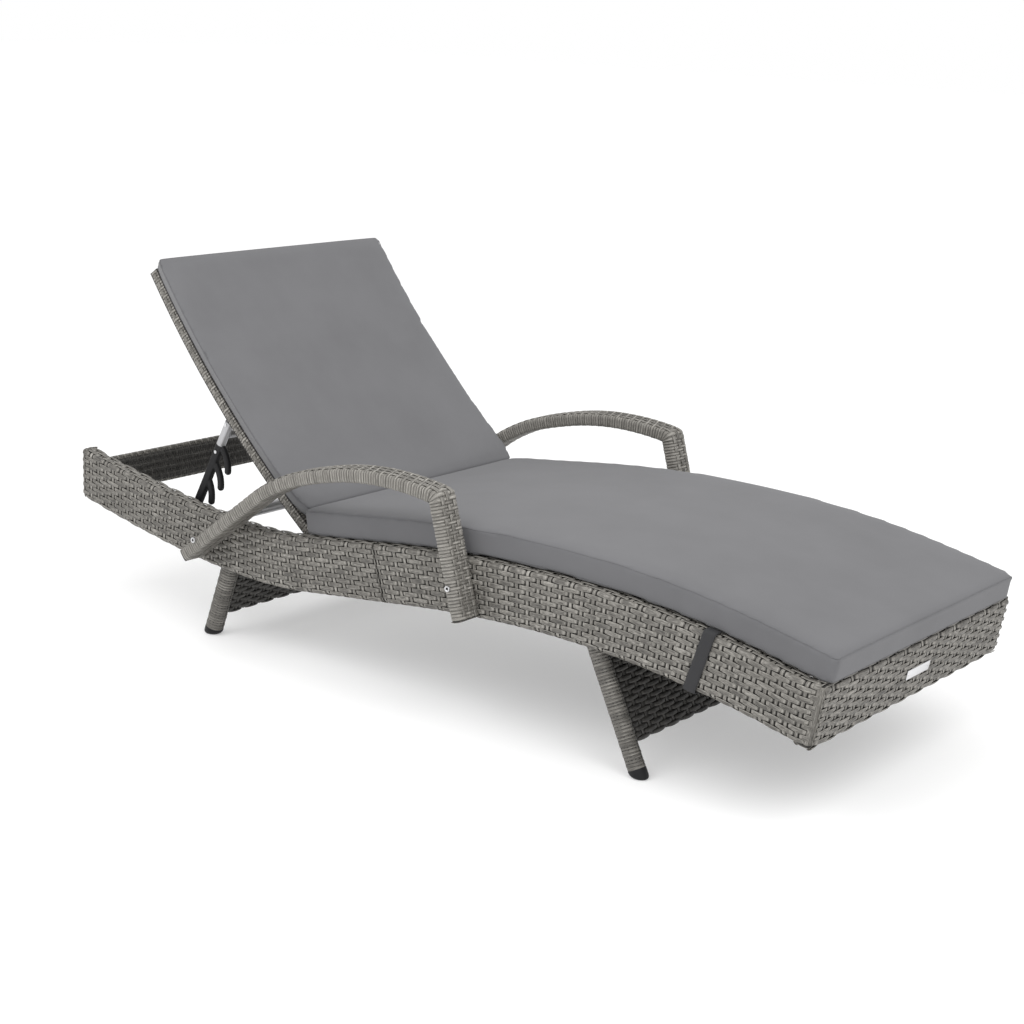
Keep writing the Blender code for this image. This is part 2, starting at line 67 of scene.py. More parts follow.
STRAND_WIDTH = 0.0084            # of a flat rattan strand
STRAND_THICK = 0.0006
ROW_PITCH = 0.0091
STAKE_PITCH = 0.0240             # between the cross strands that the rows go over and under
STAKE_WIDTH = 0.0062
STAKE_LIFT = 0.0014              # of a stake above the frame below it
OVER_LIFT = 0.0026               # of a row where it passes over a stake
UNDER_LIFT = -0.0018             # of a row where it dives behind one
INNER_FACE_RELIEF = 0.3              # how much of that relief the rails' inner faces have
LEG_CAP_HEIGHT = 0.0165          # of the plastic below a leg's windings, along the leg
WRAP_PITCH = 0.0062              # of the strands wound round the arms and legs
BAR_ROUNDING = 0.0060            # corner radius of the woven rails
RAIL_SEAM_GAP = 0.0036           # between the weaves of a rail's two halves
CORNER_RADIUS = 0.0070           # of the bound foot corners
TONE_SPREAD = 0.14               # from the darkest strand to the palest
WINDING_SHADE = 0.15             # of the windings' middles; their edges are painted darker, as shade between them
DIVE_PAINTED_SHADE = -0.42               # painted shade of a row where it is behind a stake
SHOULDER_PAINTED_HIGHLIGHT = 0.24            # painted highlight of a row where it rises from behind one
STAKE_SHADE = 0.14
CORE_DEPTH = 0.0004              # of the painted frame's skin below its strands

RAIL_HEIGHT = 0.105
RAIL_LEAN = ((-0.500, -0.052, 0.350, 0.700, 0.900), (0.0, -0.020, 0.0, 0.0, 0.016))   # at x: top over bottom
SQUARE_END_START, SQUARE_END_FADE = 0.60, 0.25      # of |x|, where the rails' stakes turn square to the rail
RAIL_CORNER_REACH = 0.015        # of the rails past the middle of the foot panel
SEAM_INSET = 0.0004              # of each half's core from the seam
FOOT_STAKE_PITCH, FOOT_ROW_PITCH = 0.0300, 0.0087
CROSSBAR_RIB_PITCH = 0.0150
DECK_RISE = 0.005
PUCKER_SMOOTHING = 14            # rounds of evening out how far the pads' skin swells
SEAT_CUSHION_THICK = 0.050
BACK_LENGTH = 0.682
BACK_ANGLES = (math.radians(36.0), math.radians(54.3))
BACK_THICK = 0.023
BACK_PANEL_DEPTH = 0.010         # of the panel's rear face below the tubes' front
BACK_CUSHION_START = 0.050
BACK_CUSHION_THICK = 0.039
ARM_LINE = [(-0.545, 0.180), (-0.378, 0.311), (-0.321, 0.354), (-0.267, 0.384), (-0.160, 0.420),
            (-0.050, 0.440), (0.042, 0.442), (0.120, 0.434)]
ARM_POST_FOOT = (0.187, 0.215)
STRUT_TILT = math.atan2(0.450, 0.893)
COMB_TOP = 0.046                 # down the strut from its pivot
COMB_END = 0.253
COMB_THICK = 0.014
COMB_FINGERS = ((0.097, 0.045), (0.140, 0.043), (0.184, 0.034))   # each tip: down the strut, out from it
COMB_FINGER_DROP = 0.044
COMB_SPINE_HEIGHT, COMB_FINGER_HEIGHT = 0.0185, 0.0130
STRUT_ABOVE_PIVOT, STRUT_LENGTH, STRUT_CROSS_DOWN = 0.006, 0.052, 0.028
ARM_THICK = 0.025
ARM_RIB_PITCH = 0.0155
SEAT_PAD_START, SEAT_PAD_END = -0.264, 0.917
BACK_PAD_OVERHANG = 0.004        # past the backrest's top
BACK_PAD_BEND = 0.110            # of its lower end
BACK_PAD_NARROWED = 0.07         # of its underside, as a share of its width
PAD_PRESSURE = 4.0
PAD_SEAM_RISE = 0.005            # of the lower seam above the pad's underside
STRAP_WIDTH, STRAP_THICK = 0.024, 0.0016
STRAP_CLEAR = 0.0042             # of the strap from the rail's frame
STRAP_SHIFT = 0.008              # towards the foot end
STRAP_LEAN = 0.30
STRAP_END_Y = 0.3330             # where it slips below the seat pad
STRAP_CORNER = 0.006
SOLE_ROUNDING = 0.0085
WASHER_PROFILE = ((0.0026, -0.0018), (0.0026, 0.0), (0.0040, 0.0008), (0.0056, 0.0004), (0.0060, -0.0010),
                  (0.0060, -0.0030))        # radius, and height over the armrest
BADGE_SIZE = (0.0016, 0.084, 0.018)
BADGE_RIVET_Y = 0.036

CAMERA_PLACE = (2.2785, -2.9295, 1.3136)
CAMERA_AZIMUTH, CAMERA_ELEVATION, CAMERA_ROLL = (math.radians(degrees) for degrees in (37.976, 15.128, 2.63))
CAMERA_LENS, CAMERA_SENSOR = 67.02, 36.0            # in millimetres
LIGHTS = (("key", (-0.6, -2.6, 3.0), 44), ("fill", (2.2, -0.6, 2.8), 36))       # with their watts
LIGHT_TARGET, LIGHT_SIZE = (0, 0, 0.3), 2.4
FLOOR_SIZE = 30.0


# ---------------------------------------------------------------- materials


def new_material(name, colour, roughness, metallic=0.0):
    material = bpy.data.materials.new(name)
    material.use_nodes = True
    shader = material.node_tree.nodes["Principled BSDF"]
    shader.inputs["Base Color"].default_value = (*colour, 1.0)
    shader.inputs["Roughness"].default_value = roughness
    shader.inputs["Metallic"].default_value = metallic
    return material, shader


def add_node(material, kind, inputs=None, **settings):
    node = material.node_tree.nodes.new("ShaderNode" + kind)
    for name, value in settings.items():
        setattr(node, name, value)
    for name, value in (inputs or {}).items():
        if isinstance(value, bpy.types.NodeSocket):
            material.node_tree.links.new(value, node.inputs[name])
        else:
            node.inputs[name].default_value = value
    return node


def link(material, source, target):
    material.node_tree.links.new(source, target)


def ramp(material, factor, stops):
    """A colour ramp; stops are (position, grey or colour)."""
    node = add_node(material, "ValToRGB", {"Fac": factor})
    elements = node.color_ramp.elements
    while len(elements) < len(stops):
        elements.new(0.5)
    for element, (position, colour) in zip(elements, stops):
        element.position = position
        element.color = (*colour, 1.0) if isinstance(colour, tuple) else (colour, colour, colour, 1.0)
    return node.outputs["Color"]


def mix_colour(material, factor, first, second):
    """A mix of two colours by a factor, from 0 for the first to 1 for the second."""
    node = add_node(material, "Mix", data_type="RGBA")
    sockets = {socket.identifier: socket for socket in node.inputs}
    for name, value in (("Factor_Float", factor), ("A_Color", first), ("B_Color", second)):
        if isinstance(value, bpy.types.NodeSocket):
            link(material, value, sockets[name])
        else:
            sockets[name].default_value = value
    return next(socket for socket in node.outputs if socket.identifier == "Result_Color")


def add_bump(material, shader, noise, strength, distance):
    bump = add_node(material, "Bump", {"Height": noise.outputs["Fac"], "Strength": strength,
                                       "Distance": distance})
    link(material, bump.outputs["Normal"], shader.inputs["Normal"])


def rattan(name, shade=1.0):
    """Mottled grey resin strands: fine streaks along each strand, painted highlight on the edges, each strand its
    own tone.
    """
    material, shader = new_material(name, (0.2, 0.19, 0.17), 0.5)
    strand = add_node(material, "Attribute", attribute_name="strand").outputs["Vector"]
    parts = add_node(material, "SeparateXYZ", {"Vector": strand}).outputs
    spread = add_node(material, "VectorMath", {0: strand, 1: (95.0, 3.6, 91.0)}, operation="MULTIPLY")
    streaks = add_node(material, "TexNoise", {"Vector": spread.outputs["Vector"], "Scale": 1.0,
                                              "Detail": 3.0, "Roughness": 0.65})
    slow = add_node(material, "VectorMath", {0: strand, 1: (24.0, 0.35, 57.0)}, operation="MULTIPLY")
    mottle = add_node(material, "TexNoise", {"Vector": slow.outputs["Vector"], "Scale": 1.0, "Detail": 2.0})
    calm = add_node(material, "Math", {0: mottle.outputs["Fac"], 1: 0.60, 2: 0.20}, operation="MULTIPLY_ADD")
    mixed = add_node(material, "Math", {0: streaks.outputs["Fac"], 1: calm.outputs[0]}, operation="ADD")
    toned = add_node(material, "Math", {0: parts["Z"], 1: mixed.outputs[0]}, operation="ADD")
    scaled = add_node(material, "Math", {0: toned.outputs[0], 1: 0.62}, operation="MULTIPLY")
    low, middle, high = (tuple(shade * c for c in colour) for colour in (
        (0.028, 0.026, 0.023), (0.130, 0.122, 0.109), (0.380, 0.364, 0.332)))
    base = ramp(material, scaled.outputs[0], [(0.49, low), (0.68, middle), (0.88, high)])
    # painted highlight: each strand is paler towards its edges
    edge = add_node(material, "Math", {0: parts["Y"]}, operation="ABSOLUTE")
    edge_highlight_share = ramp(material, edge.outputs[0], [(0.70, 0.0), (0.97, 0.50)])
    pale = mix_colour(material, edge_highlight_share, base, (*high, 1.0))
    link(material, pale, shader.inputs["Base Color"])
    gloss = ramp(material, streaks.outputs["Fac"], [(0.2, 0.62), (0.8, 0.44)])
    link(material, gloss, shader.inputs["Roughness"])
    add_bump(material, shader, streaks, 0.5, 0.0004)
    return material


def fabric(name, colour, weave_scale=900.0, sheen=0.12):
    """Close-woven outdoor cloth: a soft heather of tones, a fine thread bump and a little sheen."""
    material, shader = new_material(name, colour, 0.86)
    place = add_node(material, "TexCoord").outputs["Object"]
    threads = add_node(material, "TexNoise", {"Vector": place, "Scale": weave_scale, "Detail": 1.0})
    cloud = add_node(material, "TexNoise", {"Vector": place, "Scale": 7.0, "Detail": 3.0, "Roughness": 0.6})
    total = add_node(material, "Math", {0: threads.outputs["Fac"], 1: 0.35, 2: cloud.outputs["Fac"]},
                     operation="MULTIPLY_ADD")
    shades = [tuple(c * k for c in colour) for k in (0.92, 1.0, 1.07)]
    base = ramp(material, total.outputs[0], [(0.38, shades[0]), (0.67, shades[1]), (0.95, shades[2])])
    link(material, base, shader.inputs["Base Color"])
    shader.inputs["Sheen Weight"].default_value = sheen
    shader.inputs["Sheen Roughness"].default_value = 0.5
    add_bump(material, shader, threads, 0.25, 0.0004)
    return material


def plain_finish(name, colour, roughness, metallic=0.0, grain=220.0, depth=0.15, specular=0.5):
    """Moulded plastic or metal: a slight unevenness of tone and gloss, and a fine grain."""
    material, shader = new_material(name, colour, roughness, metallic)
    place = add_node(material, "TexCoord").outputs["Object"]
    shader.inputs["Specular IOR Level"].default_value = specular
    noise = add_node(material, "TexNoise", {"Vector": place, "Scale": grain, "Detail": 2.0})
    cloud = add_node(material, "TexNoise", {"Vector": place, "Scale": 14.0, "Detail": 3.0})
    tones = [tuple(c * k for c in colour) for k in (0.85, 1.12)]
    tone = ramp(material, cloud.outputs["Fac"], [(0.3, tones[0]), (0.7, tones[1])])
    link(material, tone, shader.inputs["Base Color"])
    gloss = ramp(material, cloud.outputs["Fac"], [(0.3, roughness * 0.85), (0.7, min(1, roughness * 1.15))])
    link(material, gloss, shader.inputs["Roughness"])
    add_bump(material, shader, noise, depth, 0.0003)
    return material


RATTAN = rattan("grey_rattan")
# a darkened copy of the rattan: painted shade on the rails' inner faces, the crossbar's inner face and the leg
# panels
PAINTED_SHADE_RATTAN = rattan("rattan_with_painted_shade", 0.26)
# near black: the frame's own dark paint, and painted shade where it shows through the weave's holes and the rails'
# seams
CORE = plain_finish("dark_frame_and_painted_shade_below_weave", (0.022, 0.020, 0.018), 0.7)
CUSHION_CLOTH = fabric("grey_cushion_cloth", (0.121, 0.121, 0.127))
# painted light: the seat's cloth made paler for the back pad, which catches less of the lamps than the seat
BACK_CLOTH_WITH_PAINTED_LIGHT = fabric("grey_cushion_cloth_with_painted_light_for_back", (0.134, 0.134, 0.140))
WELT_CLOTH = fabric("cushion_seam_cloth", (0.102, 0.102, 0.107))
ELASTIC = fabric("dark_elastic_webbing", (0.026, 0.026, 0.028), 1400.0, 0.0)
SILVER = plain_finish("satin_silver_tube", (0.46, 0.46, 0.47), 0.40, 0.75, 400.0, 0.08)
BLACK = plain_finish("black_moulded_plastic", (0.011, 0.011, 0.012), 0.50, 0.0, 600.0, 0.25, 0.22)
STEEL = plain_finish("zinc_steel", (0.66, 0.66, 0.67), 0.30, 0.9)

# ---------------------------------------------------------------- lines of the frame


def smooth_height(points):
    """A smooth height over x through the points, as a cubic with matched slopes."""
    xs, zs = np.array(points).T
    slopes = np.gradient(zs, xs, edge_order=2)

    def height(x):
        i = np.clip(np.searchsorted(xs, x) - 1, 0, len(xs) - 2)
        width = xs[i + 1] - xs[i]
        t = (x - xs[i]) / width
        return ((1 + 2 * t) * (1 - t) ** 2 * zs[i] + t * (1 - t) ** 2 * width * slopes[i]
                + t * t * (3 - 2 * t) * zs[i + 1] + t * t * (t - 1) * width * slopes[i + 1])
    return height


def node_points(*names):
    return np.array([v.co for name in names for v in frame["nodes"][name].data.vertices], float)


RAIL_LOW, RAIL_HIGH = (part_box("side_rail_foot_right")[i] for i in (0, 1))
RAIL_SPLIT_HEIGHT = (RAIL_LOW.z + RAIL_HIGH.z) / 2
RAIL_THICK = RAIL_HIGH.y - RAIL_LOW.y
RAIL_Y = -(RAIL_HIGH.y + RAIL_LOW.y) / 2


def rail_middle():
    """The rails' middle line, halfway between the upper and lower edges of their CAD solids."""
    points = node_points("side_rail_head_right", "side_rail_foot_right")
    x = np.linspace(points[:, 0].min(), points[:, 0].max(), 90)
    edges = []
    for chain in (points[points[:, 2] > RAIL_SPLIT_HEIGHT], points[points[:, 2] < RAIL_SPLIT_HEIGHT]):
        order = np.argsort(chain[:, 0])
        edges.append(np.interp(x, chain[order, 0], chain[order, 2]))
    return x, sum(edges) / 2


RAIL_X, RAIL_Z = rail_middle()


def rail_height(x):
    return np.interp(x, RAIL_X, RAIL_Z)


DECK_CURVE = np.polynomial.Polynomial.fit(RAIL_X, RAIL_Z, 9)     # the same height as one smooth curve


def rail_line(start, end, y, count=60):
    x = np.linspace(start, end, count)
    return np.stack([x, np.full(count, y), rail_height(x)], axis=1)


HINGE = Vector(JOINTS["backrest_recline"]["pos_m"])
STRUT_PIVOT = Vector(JOINTS["strut_swing"]["pos_m"])


def back_arc(along, offset):
    """Points (x, z) up the backrest's arc, at an offset in front of its middle."""
    low, high = BACK_ANGLES
    radius = BACK_LENGTH / (high - low)
    angle = low + along / radius
    x = HINGE.x - radius * (np.sin(angle) - math.sin(low)) + offset * np.sin(angle)
    z = HINGE.z - radius * (np.cos(angle) - math.cos(low)) + offset * np.cos(angle)
    return x, z


# ---------------------------------------------------------------- strands on a bar


class Bar:
    """A bar of rectangular section with round corners, along a line. skin() gives points on its surface, by
    the distance along, the distance round from the middle of its underside, and the height off it."""

    def __init__(self, line, side, width, height, radius, corner_steps=4):
        self.line = np.array(line, float)
        steps = np.linalg.norm(np.diff(self.line, axis=0), axis=1)
        self.reach = np.concatenate(([0.0], np.cumsum(steps)))
        self.length = self.reach[-1]
        way = np.gradient(self.line, self.reach, axis=0)
        self.way = way / np.linalg.norm(way, axis=1)[:, None]
        self.side = np.array(side, float)
        places, outward = [(0.0, -height / 2)], [(0.0, -1.0)]
        for quarter, (across, up) in enumerate(((1, -1), (1, 1), (-1, 1), (-1, -1))):
            for step in range(corner_steps + 1):
                turn = math.radians(90 * (quarter - 1 + step / corner_steps))
                outward.append((math.cos(turn), math.sin(turn)))
                places.append((across * (width / 2 - radius) + radius * math.cos(turn),
                               up * (height / 2 - radius) + radius * math.sin(turn)))
        places.append(places[0])
        outward.append(outward[0])
        self.places, self.outward = np.array(places), np.array(outward)
        gaps = np.linalg.norm(np.diff(self.places, axis=0), axis=1)
        self.round = np.concatenate(([0.0], np.cumsum(gaps)))
        self.girth = self.round[-1]

    def skin(self, along, around, lift):
        around = np.mod(around, self.girth)
        centre = np.stack([np.interp(along, self.reach, self.line[:, k]) for k in range(3)], axis=1)
        way = np.stack([np.interp(along, self.reach, self.way[:, k]) for k in range(3)], axis=1)
        up = np.cross(way, self.side)
        up /= np.linalg.norm(up, axis=1)[:, None]
        across_at, up_at = (np.interp(around, self.round, self.places[:, k]) for k in range(2))
        across_out, up_out = (np.interp(around, self.round, self.outward[:, k]) for k in range(2))
        return (centre + (across_at + lift * across_out)[:, None] * self.side
                + (up_at + lift * up_out)[:, None] * up)


def finished(form, name):
    """The mesh of a form, which is freed."""
    mesh = bpy.data.meshes.new(name)
    form.to_mesh(mesh)
    form.free()
    return mesh


def flat_strips(count, along, across):
    """Flat strips in one mesh; each point holds -1..1 along, -1..1 across, and its strip's number."""
    form = bmesh.new()
    for number in range(count):
        bmesh.ops.create_grid(form, x_segments=along, y_segments=across, size=1.0,
                              matrix=Matrix.Translation((0, 0, number)))
    return finished(form, "strips")


def read_points(mesh):
    points = np.zeros(len(mesh.vertices) * 3, np.float32)
    mesh.vertices.foreach_get("co", points)
    return points.reshape(-1, 3).astype(float)


def write_points(mesh, points):
    mesh.vertices.foreach_set("co", points.astype(np.float32).ravel())
    mesh.update()


def strand_mesh(count, segments, across, shape):
    """Strands laid by shape(x, y, number), which gives their points, the distance along each and its shade, which
    holds painted shade and highlights.
    The attribute "strand" holds that distance, -1..1 across the strand, and its tone, a random tone plus that
    shade."""
    mesh = flat_strips(count, segments, across)
    flat = read_points(mesh)
    number = np.rint(flat[:, 2]).astype(int)
    points, distance, shade = shape(flat[:, 0], flat[:, 1], number)
    write_points(mesh, points)
    tone = TONE_SPREAD * chance.random(count)[number] + shade
    values = np.stack([distance, flat[:, 1], tone], axis=1).astype(np.float32)
    mesh.attributes.new("strand", "FLOAT_VECTOR", "POINT").data.foreach_set("vector", values.ravel())
    return mesh


def crown(y, drop=0.0006):
    """A flat strand's edges lie lower than its middle."""
    return -drop * y * y * y * y


def smooth_step(value):
    value = np.clip(value, 0.0, 1.0)
    return value * value * (3 - 2 * value)


DIVE = [0.0, 0.100, 0.165, 0.28, 0.5, 0.72, 0.835, 0.900, 1.0]     # places along two stake pitches


def woven_rows(skin, along, around, row_pitch=ROW_PITCH, stake_pitch=STAKE_PITCH, across=3, relief=1.0):
    """Rows along a skin, each over one stake and under the next, every other row a stake further on."""
    count = max(1, round((around[1] - around[0]) / row_pitch))
    pitch = (around[1] - around[0]) / count
    periods = max(1, round((along[1] - along[0]) / stake_pitch / 2))
    period = (along[1] - along[0]) / periods
    width = pitch * STRAND_WIDTH / ROW_PITCH

    def shape(x, y, number):
        shifted = (x + 1) / 2 * periods + 0.5 * (number % 2)
        turn = np.interp(shifted % 1.0, np.linspace(0, 1, len(DIVE)), DIVE)
        turn = np.where(shifted % 1.0 > 1 - 1e-6, 0.0, turn)
        whole = np.floor(shifted + 1e-6)
        turn = np.where(np.abs(shifted - whole) < 1e-5, 0.0, turn)
        distance = (whole + turn - 0.5 * (number % 2)) * period
        from_dive = np.minimum(turn, 1 - turn) * period
        over = smooth_step((from_dive - 0.108 * period) / (0.070 * period))
        crest = 0.0007 * np.cos(2 * np.pi * turn)
        lift = UNDER_LIFT + (OVER_LIFT - UNDER_LIFT) * over - crest * over + crown(y)
        wide = width / 2 * (0.60 + 0.40 * np.sin(np.pi * turn) ** 0.7)
        sway = 0.0004 * np.sin(number * 2.4 + distance * 70)
        # painted highlight on a row's shoulder, where it rises from behind a stake
        shoulder = np.exp(-((from_dive / period - 0.17) / 0.035) ** 2)
        # painted shade where a row is behind a stake
        shade = DIVE_PAINTED_SHADE * (1 - over) + SHOULDER_PAINTED_HIGHLIGHT * shoulder
        place = around[0] + (number + 0.5) * pitch + y * wide + sway
        return skin(along[0] + distance, place, lift * relief), distance, shade
    return strand_mesh(count, periods * (len(DIVE) - 1), across, shape), period / 2


def stake_rings(skin, along, around, stake_pitch, lift=STAKE_LIFT):
    """Cross strands round a skin, one at each stake pitch."""
    count = round((along[1] - along[0]) / stake_pitch) + 1

    def shape(x, y, number):
        distance = around[0] + (x + 1) / 2 * (around[1] - around[0])
        place = along[0] + np.clip(number * stake_pitch + y * STAKE_WIDTH / 2, 0, along[1] - along[0])
        return skin(place, distance, lift + crown(y, 0.0004)), distance, STAKE_SHADE
    return strand_mesh(count, 40, 3, shape)


def wound_strands(skin, along, girth, segments, ribs=(), lift=0.0008, shade=WINDING_SHADE):
    """Strands wound round a bar side by side. Each passes two ribs out of three below, and one above."""
    count = max(1, round((along[1] - along[0]) / WRAP_PITCH))
    pitch = (along[1] - along[0]) / count

    def shape(x, y, number):
        distance = (x + 1) / 2 * (girth + 0.004)
        raised = np.zeros_like(x)
        for column, rib in enumerate(ribs):
            near = smooth_step(1.6 - np.abs(distance - rib) / 0.0035)
            over = np.where((number + column * 2) % 3 == 0, 0.0019, -0.0006)
            raised += near * over
        wave = 0.0003 * np.sin(number * 1.9)
        place = along[0] + (number + 0.5) * pitch + y * pitch * 0.47
        # painted shade: each winding's edges are darker, as the shade between neighbouring windings
        return skin(place, distance, lift + wave + raised + crown(y)), distance, shade - 0.26 * y ** 8
    return strand_mesh(count, segments, 3, shape)


def lengthwise_ribs(skin, along, ribs, width=0.0080):
    """Lengthwise strands over two windings and under the third, each column a winding further on."""
    count = max(1, round((along[1] - along[0]) / WRAP_PITCH))
    pitch = (along[1] - along[0]) / count

    def shape(x, y, number):
        distance = (x + 1) / 2 * count
        turn = (distance - 0.5 + number * 2) % 3.0
        under = np.minimum(turn, 3.0 - turn)
        over = smooth_step((under - 0.30) / 0.45)
        lift = -0.0008 + 0.0031 * over + crown(y, 0.0007)
        wide = width / 2 * (0.72 + 0.28 * over)
        reach, place = distance * pitch, np.array(ribs)[number] + y * wide
        # painted shade: a rib is darker where it dips under the windings
        return skin(along[0] + reach, place, lift), reach, -0.10 * (1 - over)
    return strand_mesh(len(ribs), count * 4, 3, shape)


def end_strips(bar, along, way):
    """Strands laid side by side over a bar's end."""
    width = np.ptp(bar.places[:, 0])
    height = np.ptp(bar.places[:, 1])
    count = round(width / WRAP_PITCH)
    centre = bar.line[0 if way < 0 else -1]
    direction = bar.way[0 if way < 0 else -1] * way
    up = np.cross(bar.way[0 if way < 0 else -1], bar.side)

    def shape(x, y, number):
        across = (number + 0.5) / count * width - width / 2 + y * width / count * 0.47
        rise = x * (height / 2 + 0.0004)
        out = 0.0016 - 0.0020 * x ** 4 + crown(y)
        points = centre + across[:, None] * bar.side + rise[:, None] * up + out[:, None] * direction
        return points, rise, 0.0
    return strand_mesh(count, 8, 3, shape)


def join_meshes(name, meshes):
    """One mesh of several; attributes with the same name stay."""
    form = bmesh.new()
    for mesh in meshes:
        form.from_mesh(mesh)
    joined = finished(form, name)
    for mesh in meshes:
        bpy.data.meshes.remove(mesh)
    return joined


def add_piece(name, mesh, body, slot, material, hides=()):
    """A finished piece. It rides on its body; of those made without one, only the combs are given their ride
    later.
    """
    obj = bpy.data.objects.new(name, mesh)
    bpy.context.scene.collection.objects.link(obj)
    mesh.materials.clear()
    mesh.materials.append(material)
    mesh.shade_smooth()
    if body:
        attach(obj, body)
    if hides:
        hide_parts(*hides)
    return obj


def add_strands(name, meshes, body="frame", material=RATTAN, slot="wicker"):
    obj = add_piece(name, join_meshes(name, meshes), body, slot, material)
    wall = obj.modifiers.new("thickness", "SOLIDIFY")
    wall.thickness, wall.offset = STRAND_THICK, -1.0


# ---------------------------------------------------------------- woven pieces


def weave_bar(bar, start, end, name, node, painted_shade_side=0, row_pitch=ROW_PITCH, stake_pitch=STAKE_PITCH, bare=0.0):
    """A woven sleeve on a bar, over a near-black core that stands for the bar's CAD solid and paints the shade in
    the weave's holes. The core is bare for a little at each end. The face on one side, 1 or -1 along the bar's own
    side, is woven of the same strands darkened, as painted shade; 2 means all faces, and 0 none."""
    half = np.ptp(bar.places[:, 0]) / 2
    shaded, light = {0: (None, (0.0, bar.girth)), 2: ((0.0, bar.girth), None),
                     1: ((half, bar.girth / 2 - half), (bar.girth / 2 - half, bar.girth + half)),
                     -1: ((bar.girth / 2 + half, bar.girth - half), (-half, bar.girth / 2 + half))}[painted_shade_side]
    for around, piece, material, slot in ((light, name, RATTAN, "wicker"),
                                          (shaded, name + "_painted_shade", PAINTED_SHADE_RATTAN, "shaded_wicker")):
        if around:
            woven = (start + bare, end - bare)
            relief = INNER_FACE_RELIEF if around is shaded and light else 1.0
            rows, stake = woven_rows(bar.skin, woven, around, row_pitch, stake_pitch, relief=relief)
            rings = stake_rings(bar.skin, woven, around, stake, lift=STAKE_LIFT * relief)
            add_strands(piece, [rows, rings], "frame", material, slot)
    add_core(bar, start, end, name.replace("weave", "core"), node)


def section_grid(bar, stations):
    """A grid to lay round a bar, with each point's share of the way along and its place round."""
    form = bmesh.new()
    bmesh.ops.create_grid(form, x_segments=stations, y_segments=len(bar.round) - 1, size=1.0)
    flat = np.array([v.co for v in form.verts], float)
    around = np.interp((flat[:, 1] + 1) / 2 * (len(bar.round) - 1), range(len(bar.round)), bar.round)
    return form, (flat[:, 0] + 1) / 2, around


def closed_bar(form, places, name):
    """Puts a grid's points in place, joins its long edges and closes its ends."""
    for vert, place in zip(form.verts, places):
        vert.co = place
    bmesh.ops.remove_doubles(form, verts=form.verts, dist=0.00005)
    bmesh.ops.holes_fill(form, edges=[edge for edge in form.edges if edge.is_boundary])
    bmesh.ops.recalc_face_normals(form, faces=form.faces)
    return finished(form, name)


def add_core(bar, start, end, name, node, body="frame"):
    """The painted frame below the strands: a closed bar with round corners, near black, which also paints the
    shade where it shows through the weave.
    """
    form, share, around = section_grid(bar, max(2, round((end - start) / 0.02)))
    places = bar.skin(start + share * (end - start), around, np.full(len(share), -CORE_DEPTH))
    mesh = closed_bar(form, places, name)
    add_piece(name, mesh, body, "shaded_wicker", CORE, hides=[node])
    mesh.set_sharp_from_angle(angle=math.radians(40))


class Rail(Bar):
    """A side rail: its cross strands lean with its seam and with its foot end."""

    def skin(self, along, around, lift):
        points = super().skin(along, around, lift)
        lean = np.interp(points[:, 0], RAIL_LEAN[0], RAIL_LEAN[1])
        end = np.clip((np.abs(points[:, 0]) - SQUARE_END_START) / SQUARE_END_FADE, 0, 1)
        slope = np.interp(along, self.reach, self.way[:, 2] / self.way[:, 0]) * end
        points[:, 0] += (lean / RAIL_HEIGHT + slope) * (points[:, 2] - rail_height(points[:, 0]))
        return points


def bind_corner(bar, side, name):
    """Upright strands that turn round a foot corner and cover the ends of both weaves."""
    outer = bar.side * side * (RAIL_THICK / 2 - CORNER_RADIUS)

    def shape(x, y, number):
        turn = np.radians(45 + (number - 1) * 42 + y * 21)
        up = x * (RAIL_HEIGHT / 2 - 0.0004)
        sway = 0.0004 * np.sin(up * 90 + number * 2)
        reach = CORNER_RADIUS + OVER_LIFT - 0.0004 + crown(y) + sway
        end = bar.line[-1] + outer
        x = end[0] - CORNER_RADIUS + reach * np.sin(turn) + RAIL_LEAN[1][-1] * up / RAIL_HEIGHT
        return np.stack([x, end[1] + side * reach * np.cos(turn), end[2] + up], axis=1), up, 0.0
    add_strands(name, [strand_mesh(3, 16, 3, shape)])


def bind_end(bar, name):
    """Upright strands side by side over a rail's head end, rounded off at both sides."""
    width = RAIL_THICK + 2 * OVER_LIFT
    count = round(width / WRAP_PITCH)

    def shape(x, y, number):
        across = ((number + 0.5 + y * 0.48) / count - 0.5) * width
        up = x * (RAIL_HEIGHT / 2 + 0.0010)
        round_off = 0.0050 * np.abs(2 * across / width) ** 5 + 0.0040 * x ** 8
        points = bar.line[0] + np.stack([round_off - 0.0024 - crown(y), across, up], axis=1)
        return points, up, 0.0
    add_strands(name, [strand_mesh(count, 16, 3, shape)])


def weave_rails():
    """Each rail is woven in two halves that meet in a seam."""
    head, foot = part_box("side_rail_head_right"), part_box("side_rail_foot_right")
    seam = (head[1].x + foot[0].x) / 2
    panel_low, panel_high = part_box("foot_panel")
    foot_end = (panel_high.x + panel_low.x) / 2 + RAIL_CORNER_REACH
    for hand, side in SIDES:
        line = rail_line(head[0].x, foot_end, side * RAIL_Y)
        bar = Rail(line, (0, 1, 0), RAIL_THICK, RAIL_HEIGHT, BAR_ROUNDING)
        middle = float(np.interp(seam, bar.line[:, 0], bar.reach))
        for word, start, end in (("head_", 0.001, middle - SEAM_INSET),
                                 ("foot_", middle + SEAM_INSET, bar.length - 0.003)):
            # the rails' inner faces are woven as painted shade
            weave_bar(bar, start, end, "rail_weave_" + word + hand, "side_rail_" + word + hand, -side,
                      bare=RAIL_SEAM_GAP / 2)
        bind_corner(bar, side, "corner_binding_" + hand)
        bind_end(bar, "head_end_binding_" + hand)


